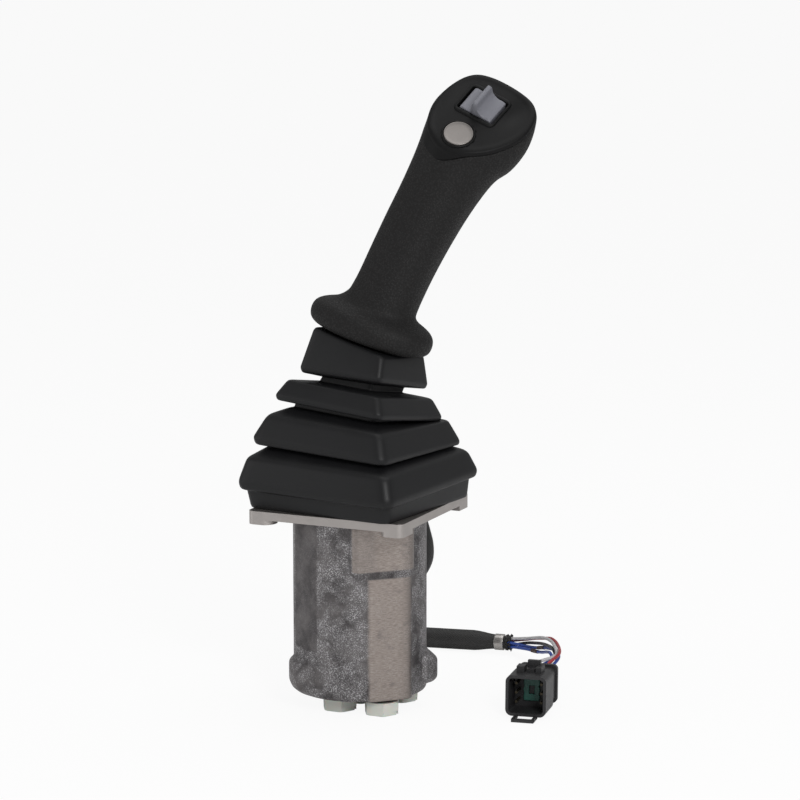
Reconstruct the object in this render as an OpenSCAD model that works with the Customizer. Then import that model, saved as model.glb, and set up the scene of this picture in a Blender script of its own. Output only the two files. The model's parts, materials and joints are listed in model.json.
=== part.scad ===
// Two-axis hydraulic pilot control joystick: a valve body with four spring-returned plungers, a gimbal,
// a bent lever in a pleated rubber boot, and a hand grip with a thumb rocker and a push button.
// Millimetres, +Z up, origin at the centre of the mounting plate's seating plane.

/* [Mounting plate] */
// Side of the square mounting plate
plate_w = 100; // [96:1:112]
// Thickness of the plate's web
plate_t = 5; // [4:0.5:6]
// Depth of the corner bosses below the web
boss_drop = 3; // [2:0.5:6]
// Radius of the corner bosses
boss_r = 8; // [6:0.5:9]
// Radius of the plate's outer corners
corner_r = 4; // [2:0.5:8]
// Distance between mounting hole centres along one side
mount_pitch = 85; // [80:1:88]
// Radius of the tapped mounting holes, M6 core
mount_hole_r = 2.5; // [2:0.1:3]
// Depth of the tapped mounting holes
mount_hole_depth = 7; // [5:0.5:8]

/* [Valve body] */
// Diameter of the cast body
body_d = 80; // [78:1:84]
// Height of the body below the mounting plate
body_h = 108; // [106:1:125]
// Radius of the spigot that enters the plate
spigot_r = 34; // [33:0.5:36]
// Distance from the body axis to each plunger
plunger_pitch = 22; // [21:0.5:23]
// Radius of each bore that holds a guide bush and its springs
chamber_r = 8; // [7.5:0.1:8.5]
// Depth of each spring chamber below the seating plane
chamber_depth = 52; // [50:1:56]
// Height of the upper pad on the front of the casting
pad_h = 27; // [22:1:32]
// Width of the upper pad
pad_w = 40; // [34:1:44]
// Width of the long lower boss
boss_w = 29; // [24:1:32]
// How far the upper pad stands out from the body axis
pad_reach = 43; // [41.5:0.5:45]
// How far the long boss stands out from the body axis
boss_reach = 40.8; // [40.5:0.1:43]
// Distance of the marking flat from the body axis
flat_reach = 38.5; // [37.5:0.5:39.5]

/* [Ports and plugs] */
// Radius of the port threads, G1/4 core
port_r = 6; // [5.5:0.1:6.5]
// Depth of each port
port_depth = 14; // [10:1:16]
// Width across the flats of the transport plugs
plug_flats = 19; // [17:0.5:20]
// Height of the hexagon of the transport plugs
plug_hex_h = 7; // [5:0.5:9]
// Width of the screwdriver slot in each plug
plug_slot_w = 2.5; // [2:0.5:4]

/* [Gimbal] */
// Height of the tilt axes above the seating plane
pivot_z = 31; // [29:0.5:35]
// Radius of the cross trunnions
trunnion_r = 3; // [2.5:0.1:3.3]
// Wall of the trunnion bushes
trunnion_bush_t = 1.5; // [1:0.1:1.8]
// Height of the swash disc's working face above the tilt axes
swash_lift = 4.5; // [4.4:0.1:5]
// Radius of the swash disc
swash_r = 27; // [26:0.5:29]
// Radius of the plungers and of their ball ends
plunger_r = 4; // [3.8:0.1:4]
// Largest lever tilt about each axis, in degrees
tilt_max = 19; // [15:1:20]
// Width across the flats of the lever's lock nut
nut_flats = 18; // [16:0.5:20]

/* [Lever and grip] */
// Radius of the lever rod
rod_r = 6; // [5.5:0.1:7]
// Height at which the rod starts to bend
bend_z = 87; // [85:1:91]
// Radius of the rod's bend at its axis
bend_r = 60; // [50:1:70]
// Lean of the grip to the right, in degrees
lean_right = 24.3; // [18:0.1:27]
// Lean of the grip away from the hand, in degrees
lean_back = 14; // [8:0.5:16]
// Length of the grip above its foot
grip_h = 162; // [156:1:170]
// Width of the hand rest at the foot of the grip
rest_w = 76.5; // [70:1:80]
// Depth of the hand rest
rest_d = 58; // [54:1:64]
// Thickness of the hand rest's rim
rest_t = 16; // [12:0.5:18]
// Tilt of the hand rest against the grip, in degrees
rest_tilt = 9; // [4:0.5:14]
// Tilt of the switch panel against the grip, in degrees
panel_tilt = 54; // [48:1:58]
// Thickness of the switch panel cap
cap_t = 10; // [9:0.5:12]

/* [Switches] */
// Width of the rocker across its pivot axis
rocker_w = 21; // [20:0.5:23]
// Length of the rocker along its pivot axis
rocker_l = 17.5; // [16:0.5:19]
// Height of the rocker's thumb fin above the panel
fin_h = 9; // [6:0.5:11]
// Largest tilt of the rocker each way, in degrees
rocker_max = 16; // [10:1:18]
// Width of the bezel frame round the rocker
bezel_rim = 1.5; // [1.25:0.25:2.5]
// Diameter of the push button
button_d = 18; // [16:0.5:19]
// Travel of the push button
button_travel = 2.5; // [1.5:0.25:3]
// Width of the black ring round the button
ring_w = 1.7; // [1.2:0.1:2.2]

/* [Boot] */
// Thickness of the rubber boot
boot_t = 2.5; // [2:0.25:3]
// Twist of the boot from its foot to its top, in degrees
boot_twist = 22; // [0:1:24]
// Tilt of the boot's third fold against its foot, in degrees
boot_lean = 10; // [6:0.5:11]

/* [Harness] */
// Diameter of the braided harness sleeve
sleeve_d = 13; // [11:0.5:13.5]
// Diameter of each wire
wire_d = 2; // [1.6:0.1:2]
// Width of the clamp band
clamp_w = 6.5; // [5:0.5:8]
// Width and height of the connector's mouth
mouth_w = 24.5; // [23:0.5:27]
// Length of the connector
conn_l = 44; // [40:1:48]
// Wall of the connector's shell
conn_wall = 1.8; // [1.5:0.1:2.4]

/* [Hidden] */
$fn = 64;

casting = [0.42, 0.41, 0.41];
machined = [0.62, 0.60, 0.58];
steel = [0.55, 0.56, 0.58];
bronze = [0.70, 0.52, 0.30];
rubber = [0.10, 0.10, 0.10];
soft_black = [0.14, 0.14, 0.14];
gloss_black = [0.12, 0.12, 0.13];
milky = [0.84, 0.86, 0.83];
grey_plastic = [0.52, 0.52, 0.55];

// Clearances: a running fit, a fit between parts that are fastened, and a free gap
run = 0.04;
seat = 0.05;
gap = 0.3;

body_r = body_d / 2;
web_z = boss_drop;
plate_top = boss_drop + plate_t;
body_bottom = boss_drop - body_h;
hole_at = mount_pitch / 2;

// Plungers stand on the two tilt axes, so each answers one axis only
PLUNGER_AT = [[1, 0], [-1, 0], [0, 1], [0, -1]];
stroke = plunger_pitch * 1.055 * tilt_max * PI / 180;
retainer_t = 5;
retainer_r = spigot_r + 4;
retainer_top = plate_top + retainer_t;
bush_neck_r = plunger_r + 2.9;
bush_top = retainer_top + 3;
bush_bottom = plate_top - 25;
seal_r = plunger_r + 2;
seal_h = 2;
collar_t = 3.5;
collar_top = bush_bottom - stroke - 0.8;
collar_bottom = collar_top - collar_t;
chamber_floor = web_z - chamber_depth;
spool_r = 4;
spool_top = collar_bottom - stroke - 6.3;
spool_bottom = spool_top - 38;
spool_floor = spool_bottom - 4;
spring_wire = 1.4;
spring_coil = chamber_r - 1.4;
control_wire = 1;
control_coil = 3.9;
screw_at = 30;
screw_r = 2.5;

// Gimbal: the two yokes' ears turn inside a ball of radius ear_ball about the tilt axes
ear_in = 9.5;
ear_out = 13.5;
ear_half = 5;
ear_top = trunnion_r + trunnion_bush_t + 2;
ear_ball = norm([ear_out, ear_half, ear_top]);
hub_r = 6;
yoke_base_t = 4;
yoke_lift = ear_ball - 2.4;
yoke_plate_t = 4;
stud_r = 5;
bell_in = ear_ball + 1;
bell_wall = 3;
bell_seat = pivot_z + yoke_lift + yoke_plate_t;
bell_top = bell_seat + 4;
nut_h = 6.5;
rod_foot = bell_top + nut_h;
stud_top = rod_foot + 8;

// The rod bends in one vertical plane until it runs along the grip
grip_dir = [cos(lean_back) * sin(lean_right), sin(lean_back), cos(lean_back) * cos(lean_right)];
lean_az = atan2(grip_dir[1], grip_dir[0]);
lean = acos(grip_dir[2]);
bend_out = bend_r * (1 - cos(lean));
grip_foot = [bend_out * cos(lean_az), bend_out * sin(lean_az), bend_z + bend_r * sin(lean)];
core_r = 11;
core_h = 44;
core_drop = 5;
rod_in_grip = core_h + 2;

// Grip sections: height share, then how far the skin stands left, right, in front and behind, and the roundness
// of the front right quarter, where the head is flatter
GRIP = [
    [0.000, 21.5, 21.5, 20.0, 20.0, 0.86], [0.080, 20.6, 21.2, 19.6, 20.0, 0.86],
    [0.150, 20.3, 20.0, 19.6, 20.0, 0.86], [0.260, 21.2, 19.2, 20.0, 20.6, 0.86],
    [0.380, 22.0, 19.4, 20.6, 21.4, 0.86], [0.500, 22.4, 20.6, 21.4, 22.0, 0.87],
    [0.600, 23.2, 22.8, 22.6, 22.4, 0.94], [0.670, 24.1, 25.6, 25.0, 22.8, 1.04],
    [0.715, 24.9, 30.0, 27.6, 23.4, 1.12], [0.760, 25.8, 32.6, 29.0, 24.0, 1.14],
    [0.815, 27.6, 34.0, 29.0, 24.6, 1.14], [0.865, 27.2, 33.6, 28.0, 24.8, 1.12],
    [0.915, 25.0, 31.8, 26.0, 24.0, 1.10], [0.955, 21.6, 29.0, 23.0, 22.0, 1.05],
    [0.985, 16.0, 23.0, 18.0, 18.0, 0.96], [1.000, 7.0, 12.0, 8.0, 9.0, 0.90]
];
grip_side = 28;
panel_y = -4.7;
panel_z = 144.5;
button_down = 26;
pocket_depth = 18.5;
// Turns of the plane that parts the cap from the shell, against the panel
cap_lean = [-3.3, -16.7, 0];
pocket_play = 0.4;
lead_bore_r = 5;

// Rocker and bezel, in the panel's own frame
rocker_axis = -4;
rocker_reach = norm([rocker_w / 2, 1.5 - rocker_axis]);
bezel_in_w = 2 * rocker_reach + 2 * gap;
bezel_in_l = rocker_l + 2 * gap;
bezel_up = 1.2;
bezel_w = bezel_in_w + 2 * bezel_rim;
bezel_l = bezel_in_l + 2 * bezel_rim + 3;
base_depth = rocker_reach * 0.5 * cos(rocker_max) + rocker_w / 2 * sin(rocker_max) + 3 * gap - rocker_axis;
base_floor = 3;
pin_r = 1.5;
button_r = button_d / 2;
button_h = 6;
button_up = 0.8;
ring_r = button_r + run + ring_w;
spring_space = 4;
ring_depth = button_h + spring_space - button_up;
switch_h = 8;

// Boot rings: height, half width. The folds step in and out, and the top lies under the hand rest
boot_h = 96;
BOOT_OUT = [
    [0, 48.0], [2, 49.0], [12, 50.2], [13.6, 52.6], [15.6, 53.4], [18, 53.1], [26, 50.0], [29.6, 47.6], [31.4, 44.2],
    [32, 39.0], [34, 39.0], [34.6, 44.8], [36.6, 46.0], [39, 45.5], [45.6, 42.8], [49.4, 40.8], [52.6, 36.6],
    [53.6, 31.0], [55.4, 31.0], [56, 36.0], [57.8, 36.8], [60, 36.2], [66, 33.6], [69.8, 31.4], [73.0, 27.0],
    [74.4, 21.0], [76, 21.0], [76.6, 26.2], [78.6, 26.6], [81, 26.2], [88, 24.8], [92.4, 24.2],
    [boot_h - 1.4, 23.2], [boot_h, 19.0]
];
boot_mouth = rod_r + 3;
BOOT_IN = [
    [boot_h, boot_mouth], [boot_h - boot_t, boot_mouth], [boot_h - boot_t - 2, 23 - boot_t], [74, 21 - boot_t],
    [64, 31 - boot_t], [53, 31 - boot_t], [45, 39 - boot_t], [32, 39 - boot_t], [24, 47.6 - boot_t],
    [0, 47.6 - boot_t]
];
boot_corner = 0.12;
boot_side = 6;

// Transport plugs: the centres of the ports on the foot of the body
PORT_AT = [[22, -17], [20, 15.5], [-3, 25], [-26, 8.5], [-2, 3.5], [-5, -18]];
plug_seal_t = 2;
plug_seal_r = 8;
plug_flange_r = 10.2;
plug_bottom = body_bottom - plug_seal_t - 1 - plug_hex_h;
ground = plug_bottom;

// Harness: where the grommet hangs, the sleeve's route and the wires' routes, laid on the ground
grommet_at = [18, 43.5];
grommet_drop = 4;
grommet_neck_r = 5;
grommet_bore = 2.6;
SLEEVE = [
    [18, 43.5, -1], [18, 43.5, -10], [20, 44, -18], [21.5, 45, -26], [20.5, 46.5, -34],
    [16, 48.5, -42], [9, 50.5, -50], [0, 52.5, -58], [-10, 54, -66], [-21, 56, -74],
    [-33, 58.5, -82], [-44, 62, -90], [-54, 67.5, -97.5], [-62, 75, -103.5], [-67, 84, -107],
    [-69, 93.5, -108.5], [-67.5, 103, -108.5], [-62.5, 111.5, -108.5], [-54.5, 119, -108.5], [-45, 125, -108.5],
    [-33, 130, -108.5], [-16, 134.5, -108.5], [1, 137.2, -108.3], [19, 139.3, -107.9], [31, 140.8, -107.9]
];
clamp_t = 0.6;
bundle_r = 2.6;
// The wires' free routes between the clamp and the connector
WIRE_WHITE = [
    [55, 131.5, -101], [65, 120.5, -97], [75.5, 108.5, -93], [85.5, 95, -90.5], [94, 81, -90], [98.5, 70.5, -93]
];
WIRE_RED = [
    [53, 136.5, -103], [63, 126.5, -99], [73.5, 114.5, -95], [84, 101, -91], [92.5, 89.5, -91], [103, 65.5, -90]
];
WIRE_BLUE_UPPER = [
    [55, 131, -106], [64.5, 123, -104], [74, 112.5, -100.5], [84, 99.5, -97], [92, 87.5, -94.5], [100, 72.5, -94.5]
];
WIRE_BLUE_LOWER = [
    [57, 126.5, -106.5], [65.5, 120, -105.5], [74, 110.5, -103], [82, 98, -99], [93.5, 75, -93], [96.5, 68.5, -95]
];
WIRE_BLACK = [
    [53.5, 135, -105], [64.5, 123, -101], [74.5, 110.5, -97.5], [84.5, 96, -94.5], [92.5, 82.5, -92.5], [96.5, 73.5, -95.5]
];
conn_at = [105.6, 4.7];
conn_turn = 10;
conn_pitch = 2;
conn_lift = 1.5;
conn_z = ground + conn_lift + mouth_w / 2;
mouth_depth = 19;
cell_w = 16;
cell_h = 14;
cell_col = 3.8;
cell_row = 4.4;
seal_face = conn_l - 1;

// Superellipse ring with its own reach to each of the four sides, and its own roundness in the front right quarter
function signed_pow(v, p) = sign(v) * pow(abs(v), p);
function egg_ring(z, left, right, front, back, n, power, corner) = [
    for (i = [0:n - 1]) let (t = 360 * i / n, p = t > 270 ? corner : power)
        [(cos(t) > 0 ? right : left) * signed_pow(cos(t), p),
         (sin(t) > 0 ? back : front) * signed_pow(sin(t), p), z]
];

// Square ring with round corners, n points in each corner
function corner_ring(half, r, n, z) = [
    for (q = [0:3], i = [0:n - 1]) let (t = 90 * q + 90 * i / (n - 1), s = half - r)
        [(q == 0 || q == 3 ? s : -s) + r * cos(t), (q < 2 ? s : -s) + r * sin(t), z]
];

// Faces of a stack of equal rings, closed at both ends
function stack_faces(rings, n) = concat(
    [[for (i = [0:n - 1]) i]],
    [for (k = [0:rings - 2], i = [0:n - 1]) let (a = k * n + i, b = k * n + (i + 1) % n) [a, a + n, b + n, b]],
    [[for (i = [n - 1:-1:0]) (rings - 1) * n + i]]
);
// Faces of a stack whose last ring joins its first
function loop_faces(rings, n) = [
    for (k = [0:rings - 1], i = [0:n - 1])
        let (a = k * n + i, b = k * n + (i + 1) % n, c = ((k + 1) % rings) * n)
            [a, c + i, c + (i + 1) % n, b]
];
module loft(rings) {
    n = len(rings[0]);
    polyhedron(points = [for (r = rings, p = r) p], faces = stack_faces(len(rings), n), convexity = 6);
}

// Tube swept along a list of points, each ring square to the route
function unit(v) = v / norm(v);
function heading(path, i) = unit(path[min(i + 1, len(path) - 1)] - path[max(i - 1, 0)]);
function across(d) = abs(d[2]) > 0.9 ? unit(cross(d, [0, 1, 0])) : unit(cross(d, [0, 0, 1]));
function carried(path, i) = i == 0
    ? across(heading(path, 0))
    : let (d = heading(path, i), s = carried(path, i - 1)) unit(s - d * (s * d));
function tube_ring(p, d, s, r, n) = let (u = cross(d, s)) [
    for (j = [0:n - 1]) p + r * cos(360 * j / n) * s + r * sin(360 * j / n) * u
];
module tube(path, r, n) {
    loft([for (i = [0:len(path) - 1]) tube_ring(path[i], heading(path, i), carried(path, i), r, n)]);
}

// A wire leaves the sleeve's end inside the clamp, side by side with the others, and ends in its connector cell
function lead_out(a) = let (last = SLEEVE[len(SLEEVE) - 1], h = unit(last - SLEEVE[len(SLEEVE) - 2]),
    start = last + bundle_r * [-h[1] * cos(a), h[0] * cos(a), sin(a)]) [start, start + h * (clamp_w + 1.5)];
function conn_point(p) = [conn_at[0], conn_at[1], conn_z]
    + turn_z([p[0], p[1] * cos(conn_pitch) + p[2] * sin(conn_pitch),
        p[2] * cos(conn_pitch) - p[1] * sin(conn_pitch)], conn_turn);
function plug_in(side, row) = let (x = side * cell_col, z = cell_row * (1 - row)) [
    conn_point([x, conn_l + 4.5 + 3.5 * row, z + 5]), conn_point([x, conn_l + 2.6 + 2.6 * row, z + 1.3]),
    conn_point([x, seal_face, z])
];

// Compression spring between two heights, its end coils lying flat
module spring(z_low, z_high, coil, wire, turns) {
    steps = 10;
    n = round(turns * steps);
    rise = z_high - z_low - wire;
    path = [for (i = [0:n]) let (share = min(1, max(0, (i - steps * 0.75) / (n - steps * 1.5))))
        [coil * cos(360 * i / steps), coil * sin(360 * i / steps), z_low + wire / 2 + rise * share]];
    loft([for (i = [0:n]) let (a = 360 * i / steps, s = [cos(a), sin(a), 0])
        tube_ring(path[i], [-sin(a), cos(a), 0], s, wire / 2 - 0.02, 6)]);
}

module ring(r_out, r_in, h) {
    difference() {
        cylinder(r = r_out, h = h);
        translate([0, 0, -1]) cylinder(r = r_in, h = h + 2);
    }
}
module rounded_plate(side, r, h) {
    s = side / 2 - r;
    translate([-side / 2, -s, 0]) cube([side, 2 * s, h]);
    translate([-s, -side / 2, 0]) cube([2 * s, side, h]);
    for (x = [-s, s], y = [-s, s]) translate([x, y, 0]) cylinder(r = r, h = h);
}
module hexagon(flats, h) {
    cylinder(r = flats / sqrt(3), h = h, $fn = 6);
}
module at_plunger(k) {
    translate([PLUNGER_AT[k][0] * plunger_pitch, PLUNGER_AT[k][1] * plunger_pitch, 0]) children();
}
module at_screws() {
    for (a = [45:90:315]) rotate([0, 0, a]) translate([screw_at, 0, 0]) children();
}
module grip_frame() {
    translate(grip_foot) rotate([-lean_back, lean_right, 0]) children();
}
module panel_frame() {
    grip_frame() translate([0, panel_y, panel_z]) rotate([panel_tilt, 0, 0]) children();
}

module mounting_plate() {
    color(machined) difference() {
        union() {
            translate([0, 0, web_z]) rounded_plate(plate_w, corner_r, plate_t);
            intersection() {
                rounded_plate(plate_w, corner_r, boss_drop + 1);
                for (x = [-hole_at, hole_at], y = [-hole_at, hole_at]) translate([x, y, 0]) {
                    cylinder(r = boss_r, h = boss_drop + 1);
                    translate([x > 0 ? 0 : -boss_r * 1.2, y > 0 ? -boss_r : -boss_r * 1.2, 0])
                        cube([boss_r * 1.2, boss_r * 2.2, boss_drop + 1]);
                }
            }
        }
        translate([0, 0, -1]) cylinder(r = spigot_r + seat, h = plate_top + 2);
        translate([0, 0, -1]) cylinder(r = body_r + 0.5, h = web_z + 1);
        for (x = [-hole_at, hole_at], y = [-hole_at, hole_at])
            translate([x, y, -1]) cylinder(r = mount_hole_r, h = mount_hole_depth + 1);
        translate([grommet_at[0], grommet_at[1], 0]) cylinder(r = grommet_neck_r + seat, h = plate_top + 1);
    }
}

// Flat boss on the front corner of the casting, between two heights
module front_boss(left, right, reach, z_low, z_high) {
    rotate([0, 0, -45]) translate([0, left, z_low]) cube([reach, right - left, z_high - z_low]);
}

module valve_body() {
    pad_top = web_z - 5;
    pad_bottom = pad_top - pad_h;
    lobe_at = [-17, -24];
    lobe_r = 17;
    lobe_h = 20;
    ear_at = [35.5, 11.5];
    ear_r = 9.5;
    ear_h = 23;
    color(casting) difference() {
        union() {
            translate([0, 0, body_bottom]) cylinder(r = body_r, h = body_h);
            translate([0, 0, web_z - 1]) cylinder(r = spigot_r, h = plate_t + 1);
            front_boss(-pad_w / 2, pad_w / 2, pad_reach, pad_bottom, pad_top);
            front_boss(pad_w / 2 - boss_w, pad_w / 2, boss_reach, body_bottom, pad_bottom);
            // Sloping ledge under the pad
            rotate([0, 0, -45]) translate([0, pad_w / 2, pad_bottom]) rotate([90, 0, 0])
                linear_extrude(pad_w) polygon([[0, 0], [pad_reach, 0], [boss_reach, -7], [0, -7]]);
            // Foot lobe with a coned shoulder
            translate([lobe_at[0], lobe_at[1], body_bottom]) {
                rotate_extrude() polygon([
                    [0, 0], [lobe_r - 11, 0], [lobe_r - 5, 1.4], [lobe_r - 1.8, 4.2], [lobe_r, 8.5],
                    [lobe_r, lobe_h], [lobe_r - 9, lobe_h + 8], [0, lobe_h + 8]
                ]);
            }
            // Lug with a rounded head on the far side
            translate([ear_at[0], ear_at[1], body_bottom]) {
                cylinder(r = ear_r, h = ear_h - ear_r / 2);
                translate([0, 0, ear_h - ear_r / 2]) cylinder(r1 = ear_r, r2 = ear_r / 2, h = ear_r / 2);
            }
            rotate([0, 0, -2]) translate([body_r - 2, -1.5, body_bottom + 2]) cube([5, 3, ear_h - 8]);
        }
        // Marking flat above the lobe
        rotate([0, 0, -122]) translate([flat_reach, -20, body_bottom + lobe_h + 8])
            cube([10, 40, body_h - lobe_h - 14]);
        for (k = [0:3]) at_plunger(k) {
            translate([0, 0, chamber_floor]) cylinder(r = chamber_r, h = 200);
            translate([0, 0, spool_floor]) cylinder(r = spool_r + run, h = 100);
        }
        translate([0, 0, plate_top - 16]) cylinder(r = stud_r + seat, h = 20);
        at_screws() translate([0, 0, plate_top - 14]) cylinder(r = screw_r + seat, h = 20);
        for (p = PORT_AT) translate([p[0], p[1], body_bottom - 1])
            cylinder(r = port_r + seat, h = port_depth + 1);
    }
}

module retainer_plate() {
    color(steel) difference() {
        translate([0, 0, plate_top]) cylinder(r = retainer_r, h = retainer_t);
        for (k = [0:3]) at_plunger(k) translate([0, 0, plate_top - 1])
            cylinder(r = bush_neck_r + seat, h = retainer_t + 2);
        translate([0, 0, plate_top - 1]) cylinder(r = stud_r + seat, h = retainer_t + 2);
        at_screws() translate([0, 0, plate_top - 1]) cylinder(r = screw_r + seat, h = retainer_t + 2);
    }
}
module retainer_screws() {
    color(steel) at_screws() {
        translate([0, 0, plate_top - 12]) cylinder(r = screw_r, h = retainer_t + 12.5);
        difference() {
            translate([0, 0, retainer_top]) cylinder(r = 4.25, h = 5);
            translate([0, 0, retainer_top + 2.5]) hexagon(4, 3);
        }
    }
}
module guide_bushes() {
    color(bronze) for (k = [0:3]) at_plunger(k) difference() {
        union() {
            translate([0, 0, bush_bottom]) cylinder(r = chamber_r - seat, h = plate_top - bush_bottom);
            translate([0, 0, plate_top - 1]) cylinder(r = bush_neck_r, h = bush_top - plate_top + 1);
        }
        translate([0, 0, bush_bottom - 1]) cylinder(r = plunger_r + run, h = bush_top - bush_bottom + 2);
        translate([0, 0, bush_top - seal_h]) cylinder(r = seal_r + seat, h = seal_h + 1);
    }
}
module wiper_seals() {
    color(rubber) for (k = [0:3]) at_plunger(k) translate([0, 0, bush_top - seal_h])
        ring(seal_r, plunger_r + run, seal_h + 0.6);
}

// Two ears across one axis, bored for the trunnion bushes
module ears(z_low, z_high) {
    for (s = [-1, 1]) translate([s > 0 ? ear_in : -ear_out, -ear_half, z_low])
        cube([ear_out - ear_in, 2 * ear_half, z_high - z_low]);
}
module trunnion_bores(r) {
    translate([-ear_out - 1, 0, pivot_z]) rotate([0, 90, 0]) cylinder(r = r, h = 2 * ear_out + 2);
}
module trunnion_bushes() {
    color(bronze) for (s = [-1, 1]) translate([s > 0 ? ear_in : -ear_out, 0, pivot_z]) rotate([0, 90, 0])
        ring(trunnion_r + trunnion_bush_t, trunnion_r + run, ear_out - ear_in);
}
module lower_yoke() {
    color(steel) difference() {
        union() {
            translate([-ear_out, -ear_half, retainer_top]) cube([2 * ear_out, 2 * ear_half, yoke_base_t]);
            translate([0, 0, retainer_top]) cylinder(r = 8, h = yoke_base_t);
            ears(retainer_top, pivot_z + ear_top);
            translate([0, 0, plate_top - 14]) cylinder(r = stud_r, h = retainer_top - plate_top + 15);
        }
        trunnion_bores(trunnion_r + trunnion_bush_t + seat / 2);
    }
}
module lower_yoke_bushes() {
    trunnion_bushes();
}
module gimbal_cross() {
    color(steel) {
        intersection() {
            translate([-hub_r, -hub_r, pivot_z - hub_r]) cube(2 * hub_r);
            translate([0, 0, pivot_z]) sphere(r = hub_r * 1.35);
        }
        for (a = [0, 90]) rotate([0, 0, a]) {
            translate([-ear_out, 0, pivot_z]) rotate([0, 90, 0]) cylinder(r = trunnion_r, h = 2 * ear_out);
            translate([-ear_in + gap, 0, pivot_z]) rotate([0, 90, 0])
                cylinder(r = trunnion_r + 1.2, h = 2 * (ear_in - gap));
        }
    }
}
module upper_yoke() {
    color(steel) difference() {
        union() {
            rotate([0, 0, 90]) ears(pivot_z - ear_top, pivot_z + yoke_lift + 1);
            translate([0, 0, pivot_z + yoke_lift]) cylinder(r = ear_out + 1.5, h = yoke_plate_t);
            translate([0, 0, bell_seat - 1]) cylinder(r = stud_r, h = stud_top - bell_seat + 1);
        }
        rotate([0, 0, 90]) trunnion_bores(trunnion_r + trunnion_bush_t + seat / 2);
    }
}
module upper_yoke_bushes() {
    rotate([0, 0, 90]) trunnion_bushes();
}
module swash_disc() {
    color(steel) translate([0, 0, pivot_z]) rotate_extrude() polygon([
        [bell_in, swash_lift], [swash_r, swash_lift], [swash_r, swash_lift + 3.6],
        [swash_r - 0.8, swash_lift + 4.4], [bell_in + bell_wall + 1, swash_lift + 5.4],
        [bell_in + bell_wall, swash_lift + 7], [bell_in + bell_wall, bell_top - pivot_z - 2],
        [bell_in + bell_wall - 2, bell_top - pivot_z], [stud_r + seat, bell_top - pivot_z],
        [stud_r + seat, bell_seat - pivot_z], [bell_in, bell_seat - pivot_z]
    ]);
}
module lock_nut() {
    color(steel) difference() {
        intersection() {
            translate([0, 0, bell_top]) hexagon(nut_flats, nut_h);
            translate([0, 0, bell_top]) cylinder(r1 = nut_flats * 0.62, r2 = nut_flats * 0.55, h = nut_h);
        }
        translate([0, 0, bell_top - 1]) cylinder(r = stud_r + seat, h = nut_h + 2);
    }
}
module lever_rod() {
    color(steel) difference() {
        union() {
            translate([0, 0, rod_foot]) cylinder(r = rod_r + 2.5, h = stud_top - rod_foot + 4);
            translate([0, 0, rod_foot]) cylinder(r = rod_r, h = bend_z - rod_foot);
            translate([0, 0, bend_z]) rotate([0, 0, lean_az]) translate([bend_r, 0, 0]) rotate([90, 0, 0])
                rotate([0, 0, 180 - lean]) rotate_extrude(angle = lean) translate([bend_r, 0]) circle(r = rod_r);
            grip_frame() cylinder(r = rod_r, h = rod_in_grip);
        }
        translate([0, 0, rod_foot - 1]) cylinder(r = stud_r + seat, h = stud_top - rod_foot + 1.5);
    }
}

module plunger(k) {
    color(steel) at_plunger(k) {
        translate([0, 0, pivot_z]) sphere(r = plunger_r);
        translate([0, 0, collar_top]) cylinder(r = plunger_r, h = pivot_z - collar_top);
        translate([0, 0, collar_bottom]) cylinder(r = chamber_r - gap, h = collar_t);
        translate([0, 0, collar_bottom - 3]) cylinder(r = control_coil - 1, h = 4);
    }
}
module return_spring(k) {
    color(steel) at_plunger(k) spring(chamber_floor, collar_bottom, spring_coil, spring_wire, 6);
}
module control_spring(k) {
    color(steel) at_plunger(k) spring(spool_top, collar_bottom, control_coil, control_wire, 5);
}
// Metering spool: a head under the control spring, then lands and grooves
module spool(k) {
    h = spool_top - spool_bottom;
    color(steel) at_plunger(k) translate([0, 0, spool_bottom]) rotate_extrude() polygon([
        [0, 0], [spool_r - 0.5, 0], [spool_r, 0.5], [spool_r, 9], [2.6, 9.5], [2.6, 13.5], [spool_r, 14],
        [spool_r, 22], [2.8, 22.5], [2.8, h - 6], [2.8, h - 2], [5, h - 2], [5, h], [0, h]
    ]);
}

module port_plugs() {
    color(milky) for (p = PORT_AT) translate([p[0], p[1], 0]) difference() {
        union() {
            translate([0, 0, body_bottom - plug_seal_t - 0.5]) cylinder(r = port_r, h = port_depth);
            translate([0, 0, body_bottom - plug_seal_t - 1]) cylinder(r = plug_flange_r, h = 1);
            intersection() {
                translate([0, 0, plug_bottom]) hexagon(plug_flats, plug_hex_h + 0.5);
                translate([0, 0, plug_bottom]) cylinder(r1 = plug_flats * 0.54, r2 = plug_flats * 0.62, h = 2);
                translate([0, 0, plug_bottom]) cylinder(r = plug_flats * 0.62, h = 2);
            }
            translate([0, 0, plug_bottom + 2]) hexagon(plug_flats, plug_hex_h - 1.5);
        }
        translate([-plug_flats, -plug_slot_w / 2, plug_bottom - 1]) cube([2 * plug_flats, plug_slot_w, 3.2]);
    }
}
module plug_seals() {
    color(rubber) for (p = PORT_AT) translate([p[0], p[1], body_bottom - plug_seal_t])
        ring(plug_seal_r, port_r + seat, plug_seal_t);
}
module cable_grommet() {
    color(rubber) translate([grommet_at[0], grommet_at[1], 0]) difference() {
        union() {
            translate([0, 0, web_z - grommet_drop]) cylinder(r = grommet_neck_r + 1.4, h = grommet_drop);
            translate([0, 0, web_z - 1]) cylinder(r = grommet_neck_r, h = plate_t + 1);
        }
        translate([0, 0, web_z - grommet_drop - 1]) cylinder(r = grommet_bore, h = grommet_drop + plate_t + 2);
    }
}

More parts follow.
